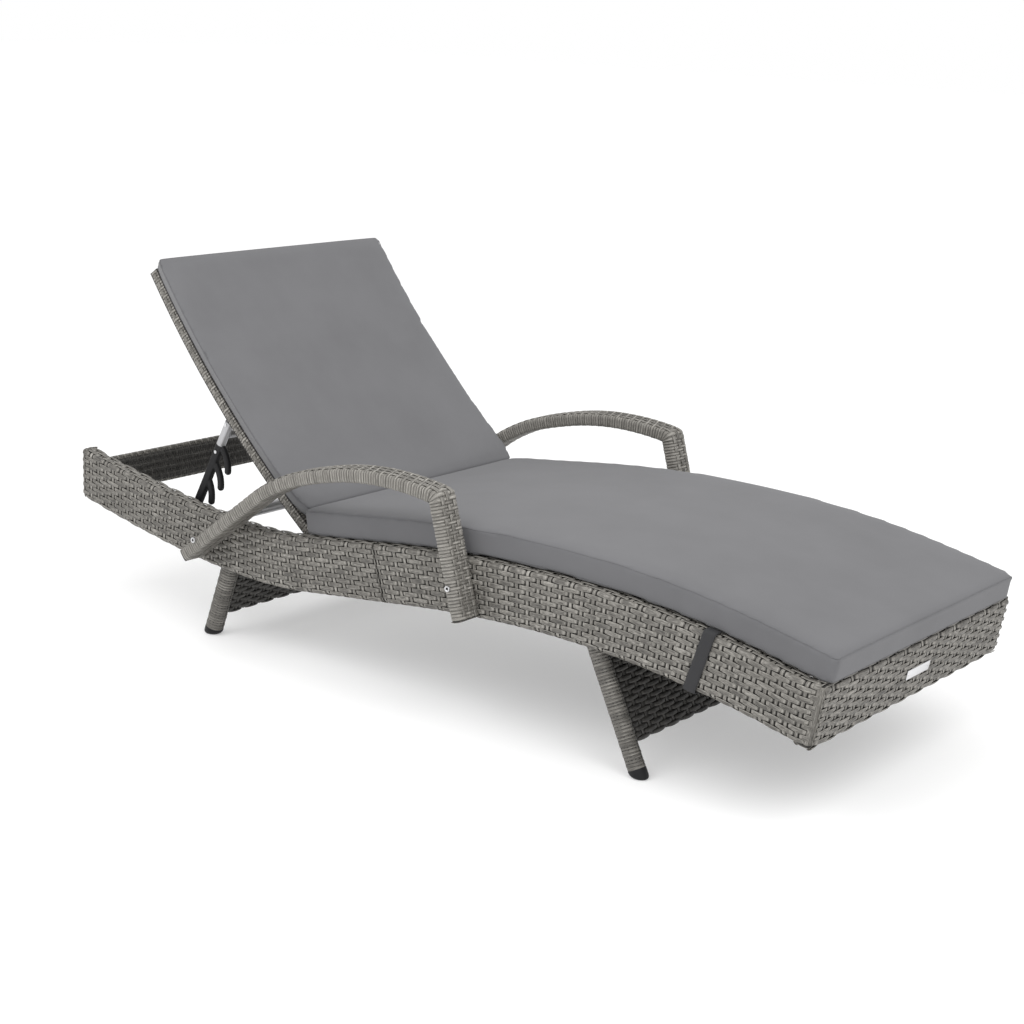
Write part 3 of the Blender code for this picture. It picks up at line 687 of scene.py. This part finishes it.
def leaning_bar(node, radius=0.005):
    """A bar across the lounger that leans. Its middle line, side and size are read from its node."""
    points = node_points(node)
    top = points[points[:, 2] > points[:, 2].max() - 0.008]
    bottom = points[points[:, 2] < points[:, 2].min() + 0.008]
    top_mid = (top.min(0) + top.max(0)) / 2
    bottom_mid = (bottom.min(0) + bottom.max(0)) / 2
    rise = top_mid - bottom_mid
    rise[1] = 0
    up = rise / np.linalg.norm(rise)
    side = np.cross((0.0, 1.0, 0.0), up) * -1
    across = points @ side
    thick = across.max() - across.min()
    heights = points @ up
    middle = side * (across.max() + across.min()) / 2 + up * (heights.max() + heights.min()) / 2
    reach = points[:, 1].max()
    line = [middle + np.array((0, -reach, 0)), middle, middle + np.array((0, reach, 0))]
    return Bar(line, side, thick, heights.max() - heights.min(), radius)


def weave_cross_panels():
    panel = leaning_bar("foot_panel", BAR_ROUNDING)
    weave_bar(panel, 0.003, panel.length - 0.003, "foot_panel_weave", "foot_panel",
              stake_pitch=FOOT_STAKE_PITCH, row_pitch=FOOT_ROW_PITCH)
    make_badge(panel)
    wind_crossbar(leaning_bar("head_crossbar"))
    for word in LEG_PAIRS:
        bar = leaning_bar(word + "_leg_panel", 0.004)
        # the leg panels are woven as painted shade on all faces
        weave_bar(bar, 0.0, bar.length, word + "_leg_panel_weave", word + "_leg_panel", 2)


def wind_crossbar(bar):
    """Upright windings with lengthwise ribs; its inner face is painted shade, of the same strands darkened."""
    half = np.ptp(bar.places[:, 0]) / 2
    inner = (bar.girth / 2 + half + 0.004, bar.girth - half)
    light = (-half, bar.girth / 2 + half + 0.004)
    for around, piece, material, slot in ((light, "head_crossbar_winding", RATTAN, "wicker"),
                                          (inner, "head_crossbar_painted_shade", PAINTED_SHADE_RATTAN, "shaded_wicker")):
        size = around[1] - around[0]
        count = round(size / CROSSBAR_RIB_PITCH)
        ribs = [size * (0.5 + rib) / count for rib in range(count)]

        def skin(along, place, lift):
            return bar.skin(along, around[0] + place, lift)
        windings = wound_strands(skin, (0.0, bar.length), size - 0.004, 36, ribs)
        rib_strands = lengthwise_ribs(skin, (0.0, bar.length), ribs)
        add_strands(piece, [windings, rib_strands], "frame", material, slot)
    add_core(bar, 0.0, bar.length, "head_crossbar_core", "head_crossbar")


def arm_line(y):
    """The armrest's arch and its straight post, at one y."""
    height = smooth_height(ARM_LINE)
    x = np.linspace(ARM_LINE[0][0], ARM_LINE[-1][0], 60)
    arch = [np.array((a, y, height(a))) for a in x]
    foot = np.array((ARM_POST_FOOT[0], y, ARM_POST_FOOT[1]))
    post = [arch[-1] + (foot - arch[-1]) * t for t in np.linspace(0.04, 1, 24)]
    return arch + post


def wind_armrests():
    low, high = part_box("armrest_left")
    width = high.y - low.y
    for hand, side in SIDES:
        bar = Bar(arm_line(side * (low.y + high.y) / 2), (0, 1, 0), width, ARM_THICK, 0.006)
        top = bar.girth / 2
        ribs = [top - ARM_RIB_PITCH, top, top + ARM_RIB_PITCH]
        ends = (0.002, bar.length - 0.002)
        windings = wound_strands(bar.skin, ends, bar.girth, 52, ribs)
        rib_strands = lengthwise_ribs(bar.skin, ends, ribs)
        caps = [end_strips(bar, 0.0, -1), end_strips(bar, bar.length, 1)]
        add_strands("armrest_weave_" + hand, [windings, rib_strands, *caps])
        add_core(bar, 0.0005, bar.length - 0.0005, "armrest_core_" + hand, "armrest_" + hand)


def leg_line(word, hand):
    """Where a leg stands, the middle of its top, and its direction upwards."""
    points = node_points(f"{word}_leg_{hand}")
    top = points[points[:, 2] > points[:, 2].max() - 0.0005]
    top_middle = (top.min(0) + top.max(0)) / 2
    ground = np.array(MOUNTS[f"{word}_foot_{hand}"])
    return ground, top_middle, (top_middle - ground) / np.linalg.norm(top_middle - ground)


def wind_legs():
    for word in LEG_PAIRS:
        for hand, _ in SIDES:
            node = f"{word}_leg_{hand}"
            ground, top, way = leg_line(word, hand)
            radius = np.ptp(node_points(node)[:, 1]) / 2
            start = ground + way * LEG_CAP_HEIGHT
            line = [start, (start + top) / 2, top]
            bar = Bar(line, (0, 1, 0), 2 * radius, 2 * radius, radius, corner_steps=6)
            ribs, ends = [bar.girth * 0.5], (0.0, bar.length)
            windings = wound_strands(bar.skin, ends, bar.girth, 32, ribs, lift=0.0006, shade=0.0)
            add_strands(f"{word}_leg_winding_{hand}", [windings, lengthwise_ribs(bar.skin, ends, ribs)])
            paint(node, CORE)


def wind_backrest():
    """The backrest's tubes are wound; its panel's rear face is woven."""
    for hand, side in SIDES:
        low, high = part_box("back_side_tube_" + hand)
        x, z = back_arc(np.linspace(-0.013, BACK_LENGTH, 40), 0.0)
        y = (low.y + high.y) / 2
        line = np.stack([x, np.full(len(x), y), z], axis=1)
        bar = Bar(line, (0, 1, 0), high.y - low.y, BACK_THICK, 0.004)
        ribs = [bar.girth * (0.75 if side < 0 else 0.25)]
        ends = (0.001, bar.length - 0.001)
        windings = wound_strands(bar.skin, ends, bar.girth, 32, ribs)
        rib_strands = lengthwise_ribs(bar.skin, ends, ribs)
        add_strands("back_side_winding_" + hand, [windings, rib_strands], "backrest")
        paint("back_side_tube_" + hand, CORE)
    for node in ("back_top_tube", "back_bottom_tube"):
        bar = leaning_bar(node, 0.0085)
        windings = wound_strands(bar.skin, (0.0, bar.length), bar.girth, 28, lift=0.0004)
        add_strands(node.replace("tube", "winding"), [windings], "backrest")
        add_core(bar, 0.0, bar.length, node.replace("tube", "core"), node, "backrest")
    low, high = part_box("back_panel")
    rear = BACK_THICK / 2 - BACK_PANEL_DEPTH
    x, z = back_arc(np.linspace(0.011, BACK_LENGTH - 0.026, 60), rear)
    steps = np.hypot(np.diff(x), np.diff(z))
    reach = np.concatenate(([0.0], np.cumsum(steps)))
    way_x, way_z = np.gradient(x, reach), np.gradient(z, reach)

    def skin(along, around, lift):
        place_x = np.interp(around, reach, x) - lift * np.interp(around, reach, way_z)
        place_z = np.interp(around, reach, z) + lift * np.interp(around, reach, way_x)
        return np.stack([place_x, low.y + along, place_z], axis=1)
    width, height = (0.0, high.y - low.y), (0.0, reach[-1])
    rows, stake = woven_rows(skin, width, height, across=2)
    add_strands("back_panel_weave", [rows, stake_rings(skin, width, height, stake)], "backrest")
    paint("back_panel", CORE)


# the finish of each CAD node, by the first of these words in its name
NODE_FINISHES = (("strut_tube", SILVER), ("strut_cross", SILVER), ("ratchet_bar", SILVER),
                 ("comb_screw", STEEL), ("ratchet_comb", BLACK), ("foot_cap", BLACK), ("screw", STEEL),
                 ("pin", STEEL), ("bracket", STEEL), ("badge", STEEL), ("strap", ELASTIC), ("plate", STEEL),
                 ("deck", CORE))


def paint(node, material):
    mesh = frame["nodes"][node].data
    mesh.materials.clear()
    mesh.materials.append(material)


# ---------------------------------------------------------------- tubes, combs and trim


def rod_mesh(start, end, radius, rounding=0.0008, segments=36):
    """A straight round rod with softened ends."""
    start, end = Vector(start), Vector(end)
    form = bmesh.new()
    bmesh.ops.create_cone(form, cap_ends=True, segments=segments, radius1=radius, radius2=radius,
                          depth=(end - start).length)
    rims = [edge for edge in form.edges if any(len(face.verts) > 4 for face in edge.link_faces)]
    bmesh.ops.bevel(form, geom=rims, offset=rounding, segments=3, profile=0.5, affect="EDGES", material=-1)
    turn = (end - start).to_track_quat("Z", "Y").to_matrix().to_4x4()
    bmesh.ops.transform(form, matrix=Matrix.Translation((start + end) / 2) @ turn, verts=form.verts)
    return finished(form, "rod")


def box_mesh(size, matrix, rounding):
    form = bmesh.new()
    bmesh.ops.create_cube(form, size=1.0)
    bmesh.ops.scale(form, vec=size, verts=form.verts)
    bmesh.ops.bevel(form, geom=form.edges[:], offset=rounding, segments=3, profile=0.5, affect="EDGES",
                    material=-1)
    bmesh.ops.transform(form, matrix=matrix, verts=form.verts)
    return finished(form, "block")


def add_hard_piece(name, meshes, body, slot, material, hides=()):
    mesh = join_meshes(name, meshes)
    add_piece(name, mesh, body, slot, material, hides)
    mesh.set_sharp_from_angle(angle=math.radians(30))


def strut_place(down, out, y):
    """A point down the prop strut from its pivot, and out from it towards the foot end."""
    sine, cosine = math.sin(STRUT_TILT), math.cos(STRUT_TILT)
    x = STRUT_PIVOT.x - down * sine + out * cosine
    return Vector((x, y, STRUT_PIVOT.z - down * cosine - out * sine))


def make_struts():
    """The prop strut's tubes and combs, and the bar between the rails that the combs rest on."""
    for hand, _ in SIDES:
        low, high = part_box("strut_tube_" + hand)
        y, radius = (low.y + high.y) / 2, (high.y - low.y) / 2
        tube = rod_mesh(strut_place(-STRUT_ABOVE_PIVOT, 0, y), strut_place(STRUT_LENGTH, 0, y), radius)
        add_hard_piece("prop_tube_" + hand, [tube], "prop_strut", "satin_tube", SILVER,
                       ["strut_tube_" + hand])
        make_comb(hand, y)
    low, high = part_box("strut_cross_tube")
    place = strut_place(STRUT_CROSS_DOWN, 0, 0)
    rod = rod_mesh((place.x, low.y, place.z), (place.x, high.y, place.z), (high.z - low.z) / 2)
    add_hard_piece("prop_cross_rod", [rod], "prop_strut", "satin_tube", SILVER, ["strut_cross_tube"])
    low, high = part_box("ratchet_bar")
    x, z = (low.x + high.x) / 2, (low.z + high.z) / 2
    rod = rod_mesh((x, low.y, z), (x, high.y, z), (high.x - low.x) / 2)
    add_hard_piece("ratchet_rod", [rod], "frame", "satin_tube", SILVER, ["ratchet_bar"])


def swept(line, y, width, height, radius, stations=24):
    """A rod of round-cornered section whose ends are rounded off."""
    bar = Bar([(x, y, z) for x, z in line], (0, 1, 0), width, height, radius, corner_steps=3)
    form, share, around = section_grid(bar, stations)
    along = (1 - np.cos(share * np.pi)) / 2 * bar.length
    near_end = np.minimum(along, bar.length - along) / (height / 2)
    fullness = np.sqrt(np.clip(1 - (1 - np.clip(near_end, 0, 1)) ** 2, 0.002, 1))
    skin = bar.skin(along, around, np.zeros(len(along)))
    middle = np.stack([np.interp(along, bar.reach, bar.line[:, k]) for k in range(3)], axis=1)
    return closed_bar(form, middle + (skin - middle) * fullness[:, None], "swept")


def curve_point(first, bend, last, t):
    """A point on the curve from the first place to the last that leans towards the bend between them."""
    return (1 - t) ** 2 * first + 2 * t * (1 - t) * bend + t * t * last


def make_comb(hand, y):
    """The moulded ratchet comb: a spine with fingers that hook down, run together into one skin."""
    def route(*places):
        first, bend, last = (np.array(strut_place(down, out, y))[[0, 2]] for down, out in places)
        return [curve_point(first, bend, last, t) for t in np.linspace(0, 1, 14)]
    spine = route((COMB_TOP, 0.0), (0.150, 0.001), (COMB_END, 0.0))
    meshes = [swept(spine, y, COMB_THICK, COMB_SPINE_HEIGHT, 0.004)]
    for down, out in COMB_FINGERS:
        finger = route((down - COMB_FINGER_DROP, 0.003), (down - 0.028, out - 0.006), (down + 0.0005, out))
        meshes.append(swept(finger, y, COMB_THICK - 0.002, COMB_FINGER_HEIGHT, 0.004))
    obj = add_piece("comb_" + hand, join_meshes("comb", meshes), None, "black_plastic", BLACK)
    remesh = obj.modifiers.new("one_skin", "REMESH")
    remesh.mode, remesh.voxel_size, remesh.use_smooth_shade = "VOXEL", 0.0011, True
    mesh = evaluated(obj)
    form = bmesh.new()
    form.from_mesh(mesh)
    for _ in range(3):
        bmesh.ops.smooth_vert(form, verts=form.verts, factor=0.5, use_axis_x=True, use_axis_y=True,
                              use_axis_z=True)
    form.to_mesh(mesh)
    form.free()
    obj.modifiers.clear()
    obj.data = mesh
    mesh.shade_smooth()
    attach(obj, "prop_strut")
    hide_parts("ratchet_comb_" + hand)


def make_foot_caps():
    """Plastic caps on the leg ends, cut flat where they stand."""
    for word in LEG_PAIRS:
        for hand, _ in SIDES:
            node = f"foot_cap_{word}_{hand}"
            ground, _, way = leg_line(word, hand)
            low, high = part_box(node)
            radius = (high.y - low.y) / 2 - 0.0008
            mesh = rod_mesh(ground - way * 0.03, ground + way * (LEG_CAP_HEIGHT + 0.002), radius, 0.0030)
            form = bmesh.new()
            form.from_mesh(mesh)
            bmesh.ops.bisect_plane(form, geom=form.verts[:] + form.edges[:] + form.faces[:],
                                   plane_co=(0, 0, 0), plane_no=(0, 0, 1), clear_inner=True)
            bmesh.ops.holes_fill(form, edges=[edge for edge in form.edges if edge.is_boundary])
            sole = [edge for edge in form.edges if all(abs(vert.co.z) < 1e-5 for vert in edge.verts)]
            bmesh.ops.bevel(form, geom=sole, offset=SOLE_ROUNDING, segments=6, profile=0.5, affect="EDGES",
                            material=-1)
            form.to_mesh(mesh)
            form.free()
            add_hard_piece(f"cap_{word}_{hand}", [mesh], "frame", "black_plastic", BLACK, [node])


def make_arm_bolts():
    """A washer with a sunk socket where each armrest is bolted to its rail."""
    for word in ("front", "rear"):
        for hand, side in SIDES:
            node = f"armrest_screw_{word}_{hand}"
            low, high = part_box(node)
            face = high.y if side > 0 else low.y
            form = bmesh.new()
            line = [form.verts.new((radius, 0, rise)) for radius, rise in WASHER_PROFILE]
            edges = [form.edges.new(pair) for pair in zip(line, line[1:])]
            bmesh.ops.spin(form, geom=line + edges, cent=(0, 0, 0), axis=(0, 0, 1), angle=2 * math.pi,
                           steps=28, use_merge=True)
            bmesh.ops.recalc_face_normals(form, faces=form.faces)
            turn = Matrix.Rotation(-side * math.pi / 2, 4, "X")
            place = Vector(((low.x + high.x) / 2, face + side * 0.0006, (low.z + high.z) / 2))
            bmesh.ops.transform(form, matrix=Matrix.Translation(place) @ turn, verts=form.verts)
            add_hard_piece(f"arm_washer_{word}_{hand}", [finished(form, "washer")], "frame", "steel", STEEL)
            inner, outer = (place - Vector((0, side * depth, 0)) for depth in (0.004, 0.0014))
            socket = rod_mesh(inner, outer, 0.0029, 0.0002, 6)
            add_hard_piece(f"arm_bolt_socket_{word}_{hand}", [socket], "frame", "black_plastic", BLACK,
                           [node])


def make_strap():
    """An elastic band under the frame that comes up over each rail's weave to the cushion."""
    low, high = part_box("cushion_strap")
    x_middle = (low.x + high.x) / 2 + STRAP_SHIFT
    outer, top = high.y - 0.0023 + STRAP_CLEAR, RAIL_HEIGHT / 2 + STRAP_CLEAR
    corners = [(-STRAP_END_Y, top), (-outer, top), (-outer, -top), (outer, -top), (outer, top),
               (STRAP_END_Y, top)]
    line = [corners[0]]
    for before, corner, after in zip(corners, corners[1:], corners[2:]):
        a, b, c = (np.array(p) for p in (before, corner, after))
        near, far = (b + (q - b) / np.linalg.norm(q - b) * STRAP_CORNER for q in (a, c))
        line += [tuple(curve_point(near, b, far, t)) for t in np.linspace(0, 1, 6)]
    line = np.array(line + [corners[-1]])
    reach = np.concatenate(([0.0], np.cumsum(np.linalg.norm(np.diff(line, axis=0), axis=1))))
    mesh = flat_strips(1, len(reach) - 1, 4)
    flat = read_points(mesh)
    at = np.interp((flat[:, 0] + 1) / 2 * (len(reach) - 1), range(len(reach)), reach)
    y, up = np.interp(at, reach, line[:, 0]), np.interp(at, reach, line[:, 1])
    x = x_middle + flat[:, 1] * STRAP_WIDTH / 2
    write_points(mesh, np.stack([x + STRAP_LEAN * up, y, rail_height(x) + up], axis=1))
    obj = add_piece("cushion_band", mesh, "frame", "elastic_strap", ELASTIC, hides=["cushion_strap"])
    wall = obj.modifiers.new("thickness", "SOLIDIFY")
    wall.thickness, wall.offset = STRAP_THICK, 1.0


def make_badge(panel):
    """A blank metal plate with two rivets on the middle of the foot panel."""
    out = -panel.side
    up = np.cross(panel.way[1], panel.side)
    thick = np.ptp(panel.places[:, 0])
    centre = panel.line[1] + out * (thick / 2 + OVER_LIFT + 0.0014)
    turn = Matrix((Vector(out), Vector((0, 1, 0)), Vector(up))).transposed().to_4x4()
    plate = box_mesh(BADGE_SIZE, Matrix.Translation(centre) @ turn, 0.0005)
    rivets = []
    for side in (-1, 1):
        place = Vector(centre) + Vector((0, side * BADGE_RIVET_Y, 0))
        rivets.append(rod_mesh(place, place + Vector(out) * 0.0018, 0.0022, 0.0008, 20))
    add_hard_piece("badge_blank", [plate], "frame", "steel", STEEL, ["badge_plate"])
    add_hard_piece("badge_rivets", rivets, "frame", "steel", STEEL)


# ---------------------------------------------------------------- cushions


def slab(length, width, thick, cell=0.018):
    """A closed flat slab, from 0 along +X, centred on Y, from 0 up to its thickness."""
    form = bmesh.new()
    bmesh.ops.create_grid(form, x_segments=round(length / cell), y_segments=round(width / cell), size=0.5)
    bmesh.ops.scale(form, vec=(length, width, 1.0), verts=form.verts)
    bmesh.ops.translate(form, vec=(length / 2, 0, 0), verts=form.verts)
    bmesh.ops.recalc_face_normals(form, faces=form.faces)
    made = bmesh.ops.extrude_face_region(form, geom=form.faces[:])
    top = [v for v in made["geom"] if isinstance(v, bmesh.types.BMVert)]
    bmesh.ops.translate(form, vec=(0, 0, thick), verts=top)
    bmesh.ops.recalc_face_normals(form, faces=form.faces)
    return finished(form, "slab")


def evaluated(obj):
    """The mesh of an object with its modifiers applied."""
    graph = bpy.context.evaluated_depsgraph_get()
    graph.update()
    return bpy.data.meshes.new_from_object(obj.evaluated_get(graph))


def swell(obj, voxel, cap, frames=20):
    """Remeshes a pad and blows it up with cloth; no point moves further than the cap."""
    remesh = obj.modifiers.new("even_faces", "REMESH")
    remesh.mode = "VOXEL"
    remesh.voxel_size = voxel
    mesh = evaluated(obj)
    obj.modifiers.clear()
    obj.data = mesh
    before = read_points(mesh)
    cloth = obj.modifiers.new("padding", "CLOTH")
    cloth.settings.use_pressure = True
    cloth.settings.uniform_pressure_force = PAD_PRESSURE
    cloth.settings.effector_weights.gravity = 0.0
    cloth.settings.quality = 4
    cloth.settings.tension_stiffness = 25
    cloth.settings.compression_stiffness = 25
    cloth.point_cache.frame_start, cloth.point_cache.frame_end = 1, frames
    for number in range(1, frames + 1):
        bpy.context.scene.frame_set(number)
    swollen = evaluated(obj)
    after = read_points(swollen)
    obj.modifiers.clear()
    bpy.context.scene.frame_set(1)
    normals = np.zeros(len(mesh.vertices) * 3, np.float32)
    mesh.vertex_normals.foreach_get("vector", normals)
    normals = normals.reshape(-1, 3).astype(float)
    outward = np.clip(np.sum((after - before) * normals, axis=1), 0, cap)
    outward *= normals[:, 2] > -0.45        # the underside stays on what carries it
    ends = np.zeros(len(mesh.edges) * 2, np.int32)
    mesh.edges.foreach_get("vertices", ends)
    first, second = ends.reshape(-1, 2).T
    near = np.bincount(ends, minlength=len(outward))
    count = len(outward)
    for _ in range(PUCKER_SMOOTHING):
        total = np.bincount(first, outward[second], count) + np.bincount(second, outward[first], count)
        outward = (outward + total) / (1 + near)
    write_points(mesh, before + normals * outward[:, None])
    bpy.data.meshes.remove(swollen)


def seat_place(along, across, up):
    """A point of the seat pad: along the rails' upper edges, across the lounger and above the deck."""
    base = DECK_CURVE(along)
    slope = DECK_CURVE.deriv()(along)
    size = np.hypot(1.0, slope)
    lift = RAIL_HEIGHT / 2 + DECK_RISE + 0.0006 + up
    return np.stack([along - up * slope / size, across, base + lift * size - up * (size - 1 / size)], axis=1)


def back_place(along, across, up):
    """A point of the back pad: up the backrest's arc, across it and in front of its frame."""
    x, z = back_arc(along, BACK_THICK / 2 + 0.0003 + up)
    return np.stack([x, across, z], axis=1)


def make_pad(name, place, start, end, width, thick, voxel, cap, crowned, narrowed=0.0):
    """A boxed pad: a slab with its sides a little pulled in, laid along its place and blown up.
    Its underside can be narrower, by a share of its width."""
    mesh = slab(end - start, width, thick)
    points = read_points(mesh)
    along, across, up = points.T
    length = end - start
    share = along / length
    pull = 1 - 0.006 * np.sin(np.pi * share) ** 2
    middle = np.sqrt(np.clip(np.sin(np.pi * share) * np.cos(np.pi * across / width), 0, 1))
    corner = np.exp(-(np.minimum(along, length - along) + width / 2 - np.abs(across)) / 0.020)
    up = (up + crowned * middle * (up / thick)) * (1 - 0.05 * corner)
    pull = pull * (1 - 0.012 * corner)
    below, low_end = 1 - np.clip(up / thick, 0, 1), np.clip(1 - along / 0.05, 0, 1)
    pull = pull * (1 - narrowed * below - narrowed / 2 * low_end ** 2)
    write_points(mesh, place(start + along, across * pull, up))
    obj = bpy.data.objects.new(name, mesh)
    bpy.context.scene.collection.objects.link(obj)
    swell(obj, voxel, cap)
    smooth = obj.modifiers.new("soft_faces", "SUBSURF")
    smooth.levels = smooth.render_levels = 1
    final = evaluated(obj)
    obj.modifiers.clear()
    obj.data = final
    final.name = name
    return obj


def seam_on(pad, name, places, radius=0.0008):
    """A thin welt along a closed line on a pad's surface."""
    corners = [vert.co for vert in pad.data.vertices]
    tree = BVHTree.FromPolygons(corners, [face.vertices for face in pad.data.polygons])
    spline_data = bpy.data.curves.new(name, "CURVE")
    spline_data.dimensions = "3D"
    spline_data.bevel_depth = radius
    spline_data.bevel_resolution = 1
    spline = spline_data.splines.new("POLY")
    spline.points.add(len(places) - 1)
    for point, place in zip(spline.points, places):
        near, normal, _, _ = tree.find_nearest(Vector(place))
        point.co = (*(near + normal * radius * 0.1), 1.0)
    spline.use_cyclic_u = True
    holder = bpy.data.objects.new(name, spline_data)
    bpy.context.scene.collection.objects.link(holder)
    mesh = evaluated(holder)
    bpy.data.objects.remove(holder)
    return mesh


def edge_loop(place, start, end, half, up, step=0.006, corner=0.005):
    """Points round a pad's outline at one height, with small round corners."""
    line = []
    for x, y, turn in ((end - corner, half - corner, 0), (start + corner, half - corner, 90),
                       (start + corner, corner - half, 180), (end - corner, corner - half, 270)):
        for degree in range(0, 91, 15):
            angle = math.radians(turn + degree)
            line.append((x + corner * math.cos(angle), y + corner * math.sin(angle)))
    line.append(line[0])
    line = np.array(line)
    reach = np.concatenate(([0.0], np.cumsum(np.linalg.norm(np.diff(line, axis=0), axis=1))))
    at = np.linspace(0, reach[-1], int(reach[-1] / step), endpoint=False)
    along, across = (np.interp(at, reach, line[:, k]) for k in range(2))
    return place(along, across, np.full(len(at), up))


def make_cushions():
    """The seat pad lies on the rails. The back pad lies along the backrest, in its place at rest."""
    low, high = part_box("seat_cushion")
    width = high.y - low.y
    start, end, thick = SEAT_PAD_START, SEAT_PAD_END, SEAT_CUSHION_THICK - 0.001
    seat = make_pad("seat_pad", seat_place, start, end, width, thick, voxel=0.0065, cap=0.004, crowned=0.002)
    seams = [seam_on(seat, "seat_seam_top", edge_loop(seat_place, start, end, width / 2, thick)),
             seam_on(seat, "seat_seam_low", edge_loop(seat_place, start, end, width / 2, PAD_SEAM_RISE))]
    finish_pad(seat, CUSHION_CLOTH, ["seat_cushion"])
    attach(seat, "frame")
    add_piece("seat_pad_seams", join_meshes("seat_pad_seams", seams), "frame", "cushion_fabric", WELT_CLOTH)
    start, end, thick = BACK_CUSHION_START, BACK_LENGTH + BACK_PAD_OVERHANG, BACK_CUSHION_THICK - 0.001
    back = make_pad("back_pad", back_place, start, end, width, thick, voxel=0.006, cap=0.005, crowned=0.003,
                    narrowed=BACK_PAD_NARROWED)
    low_half = width / 2 * 0.94
    seams = [seam_on(back, "back_seam_top", edge_loop(back_place, start, end, width / 2, thick)),
             seam_on(back, "back_seam_low", edge_loop(back_place, start, end, low_half, PAD_SEAM_RISE))]
    finish_pad(back, BACK_CLOTH_WITH_PAINTED_LIGHT, ["back_cushion"])
    welt = add_piece("back_pad_seams", join_meshes("back_pad_seams", seams), None, "cushion_fabric",
                     WELT_CLOTH)
    bend = back_place(np.array([start, start + BACK_PAD_BEND]), np.zeros(2), np.zeros(2))
    for piece in (back, welt):
        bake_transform(piece)


def finish_pad(obj, cloth, hides):
    obj.data.materials.clear()
    obj.data.materials.append(cloth)
    obj.data.shade_smooth()
    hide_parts(*hides)


# ---------------------------------------------------------------- camera, light and floor


def set_camera():
    sine, cosine, flat = math.sin(CAMERA_AZIMUTH), math.cos(CAMERA_AZIMUTH), math.cos(CAMERA_ELEVATION)
    back = Vector((sine * flat, -cosine * flat, math.sin(CAMERA_ELEVATION)))
    right = Vector((cosine, sine, 0))
    up = right.cross(-back)
    x_axis = right * math.cos(CAMERA_ROLL) + up * math.sin(CAMERA_ROLL)
    y_axis = up * math.cos(CAMERA_ROLL) - right * math.sin(CAMERA_ROLL)
    data = bpy.data.cameras.new("camera")
    data.lens, data.sensor_width = CAMERA_LENS, CAMERA_SENSOR
    camera = bpy.data.objects.new("camera", data)
    camera.matrix_world = Matrix((x_axis, y_axis, back)).transposed().to_4x4()
    camera.location = CAMERA_PLACE
    bpy.context.scene.collection.objects.link(camera)
    bpy.context.scene.camera = camera


def area_light(name, place, power):
    data = bpy.data.lights.new(name, "AREA")
    data.shape, data.size, data.energy = "DISK", LIGHT_SIZE, power
    lamp = bpy.data.objects.new(name, data)
    lamp.location = place
    lamp.rotation_euler = (Vector(LIGHT_TARGET) - Vector(place)).to_track_quat("-Z", "Y").to_euler()
    bpy.context.scene.collection.objects.link(lamp)


def set_studio():
    world = bpy.data.worlds.new("white_studio")
    world.use_nodes = True
    background = world.node_tree.nodes["Background"]
    background.inputs["Color"].default_value = (1.0, 1.0, 1.0, 1.0)
    background.inputs["Strength"].default_value = 1.0
    bpy.context.scene.world = world
    bpy.context.scene.view_settings.view_transform = "Standard"
    for light in LIGHTS:
        area_light(*light)
    form = bmesh.new()
    bmesh.ops.create_grid(form, x_segments=1, y_segments=1, size=FLOOR_SIZE)
    mesh = finished(form, "floor")
    floor = bpy.data.objects.new("floor", mesh)
    bpy.context.scene.collection.objects.link(floor)
    material, shader = new_material("pale_floor", (0.66, 0.66, 0.66), 0.9)
    shader.inputs["Emission Color"].default_value = (1.0, 1.0, 1.0, 1.0)
    shader.inputs["Emission Strength"].default_value = 0.35
    mesh.materials.append(material)


# ---------------------------------------------------------------- the lounger

weave_rails()
weave_cross_panels()
wind_armrests()
wind_legs()
wind_backrest()
make_struts()
make_foot_caps()
make_arm_bolts()
make_strap()
make_cushions()
for node in frame["nodes"]:
    for word, material in NODE_FINISHES:
        if word in node:
            paint(node, material)
            break
set_camera()
set_studio()
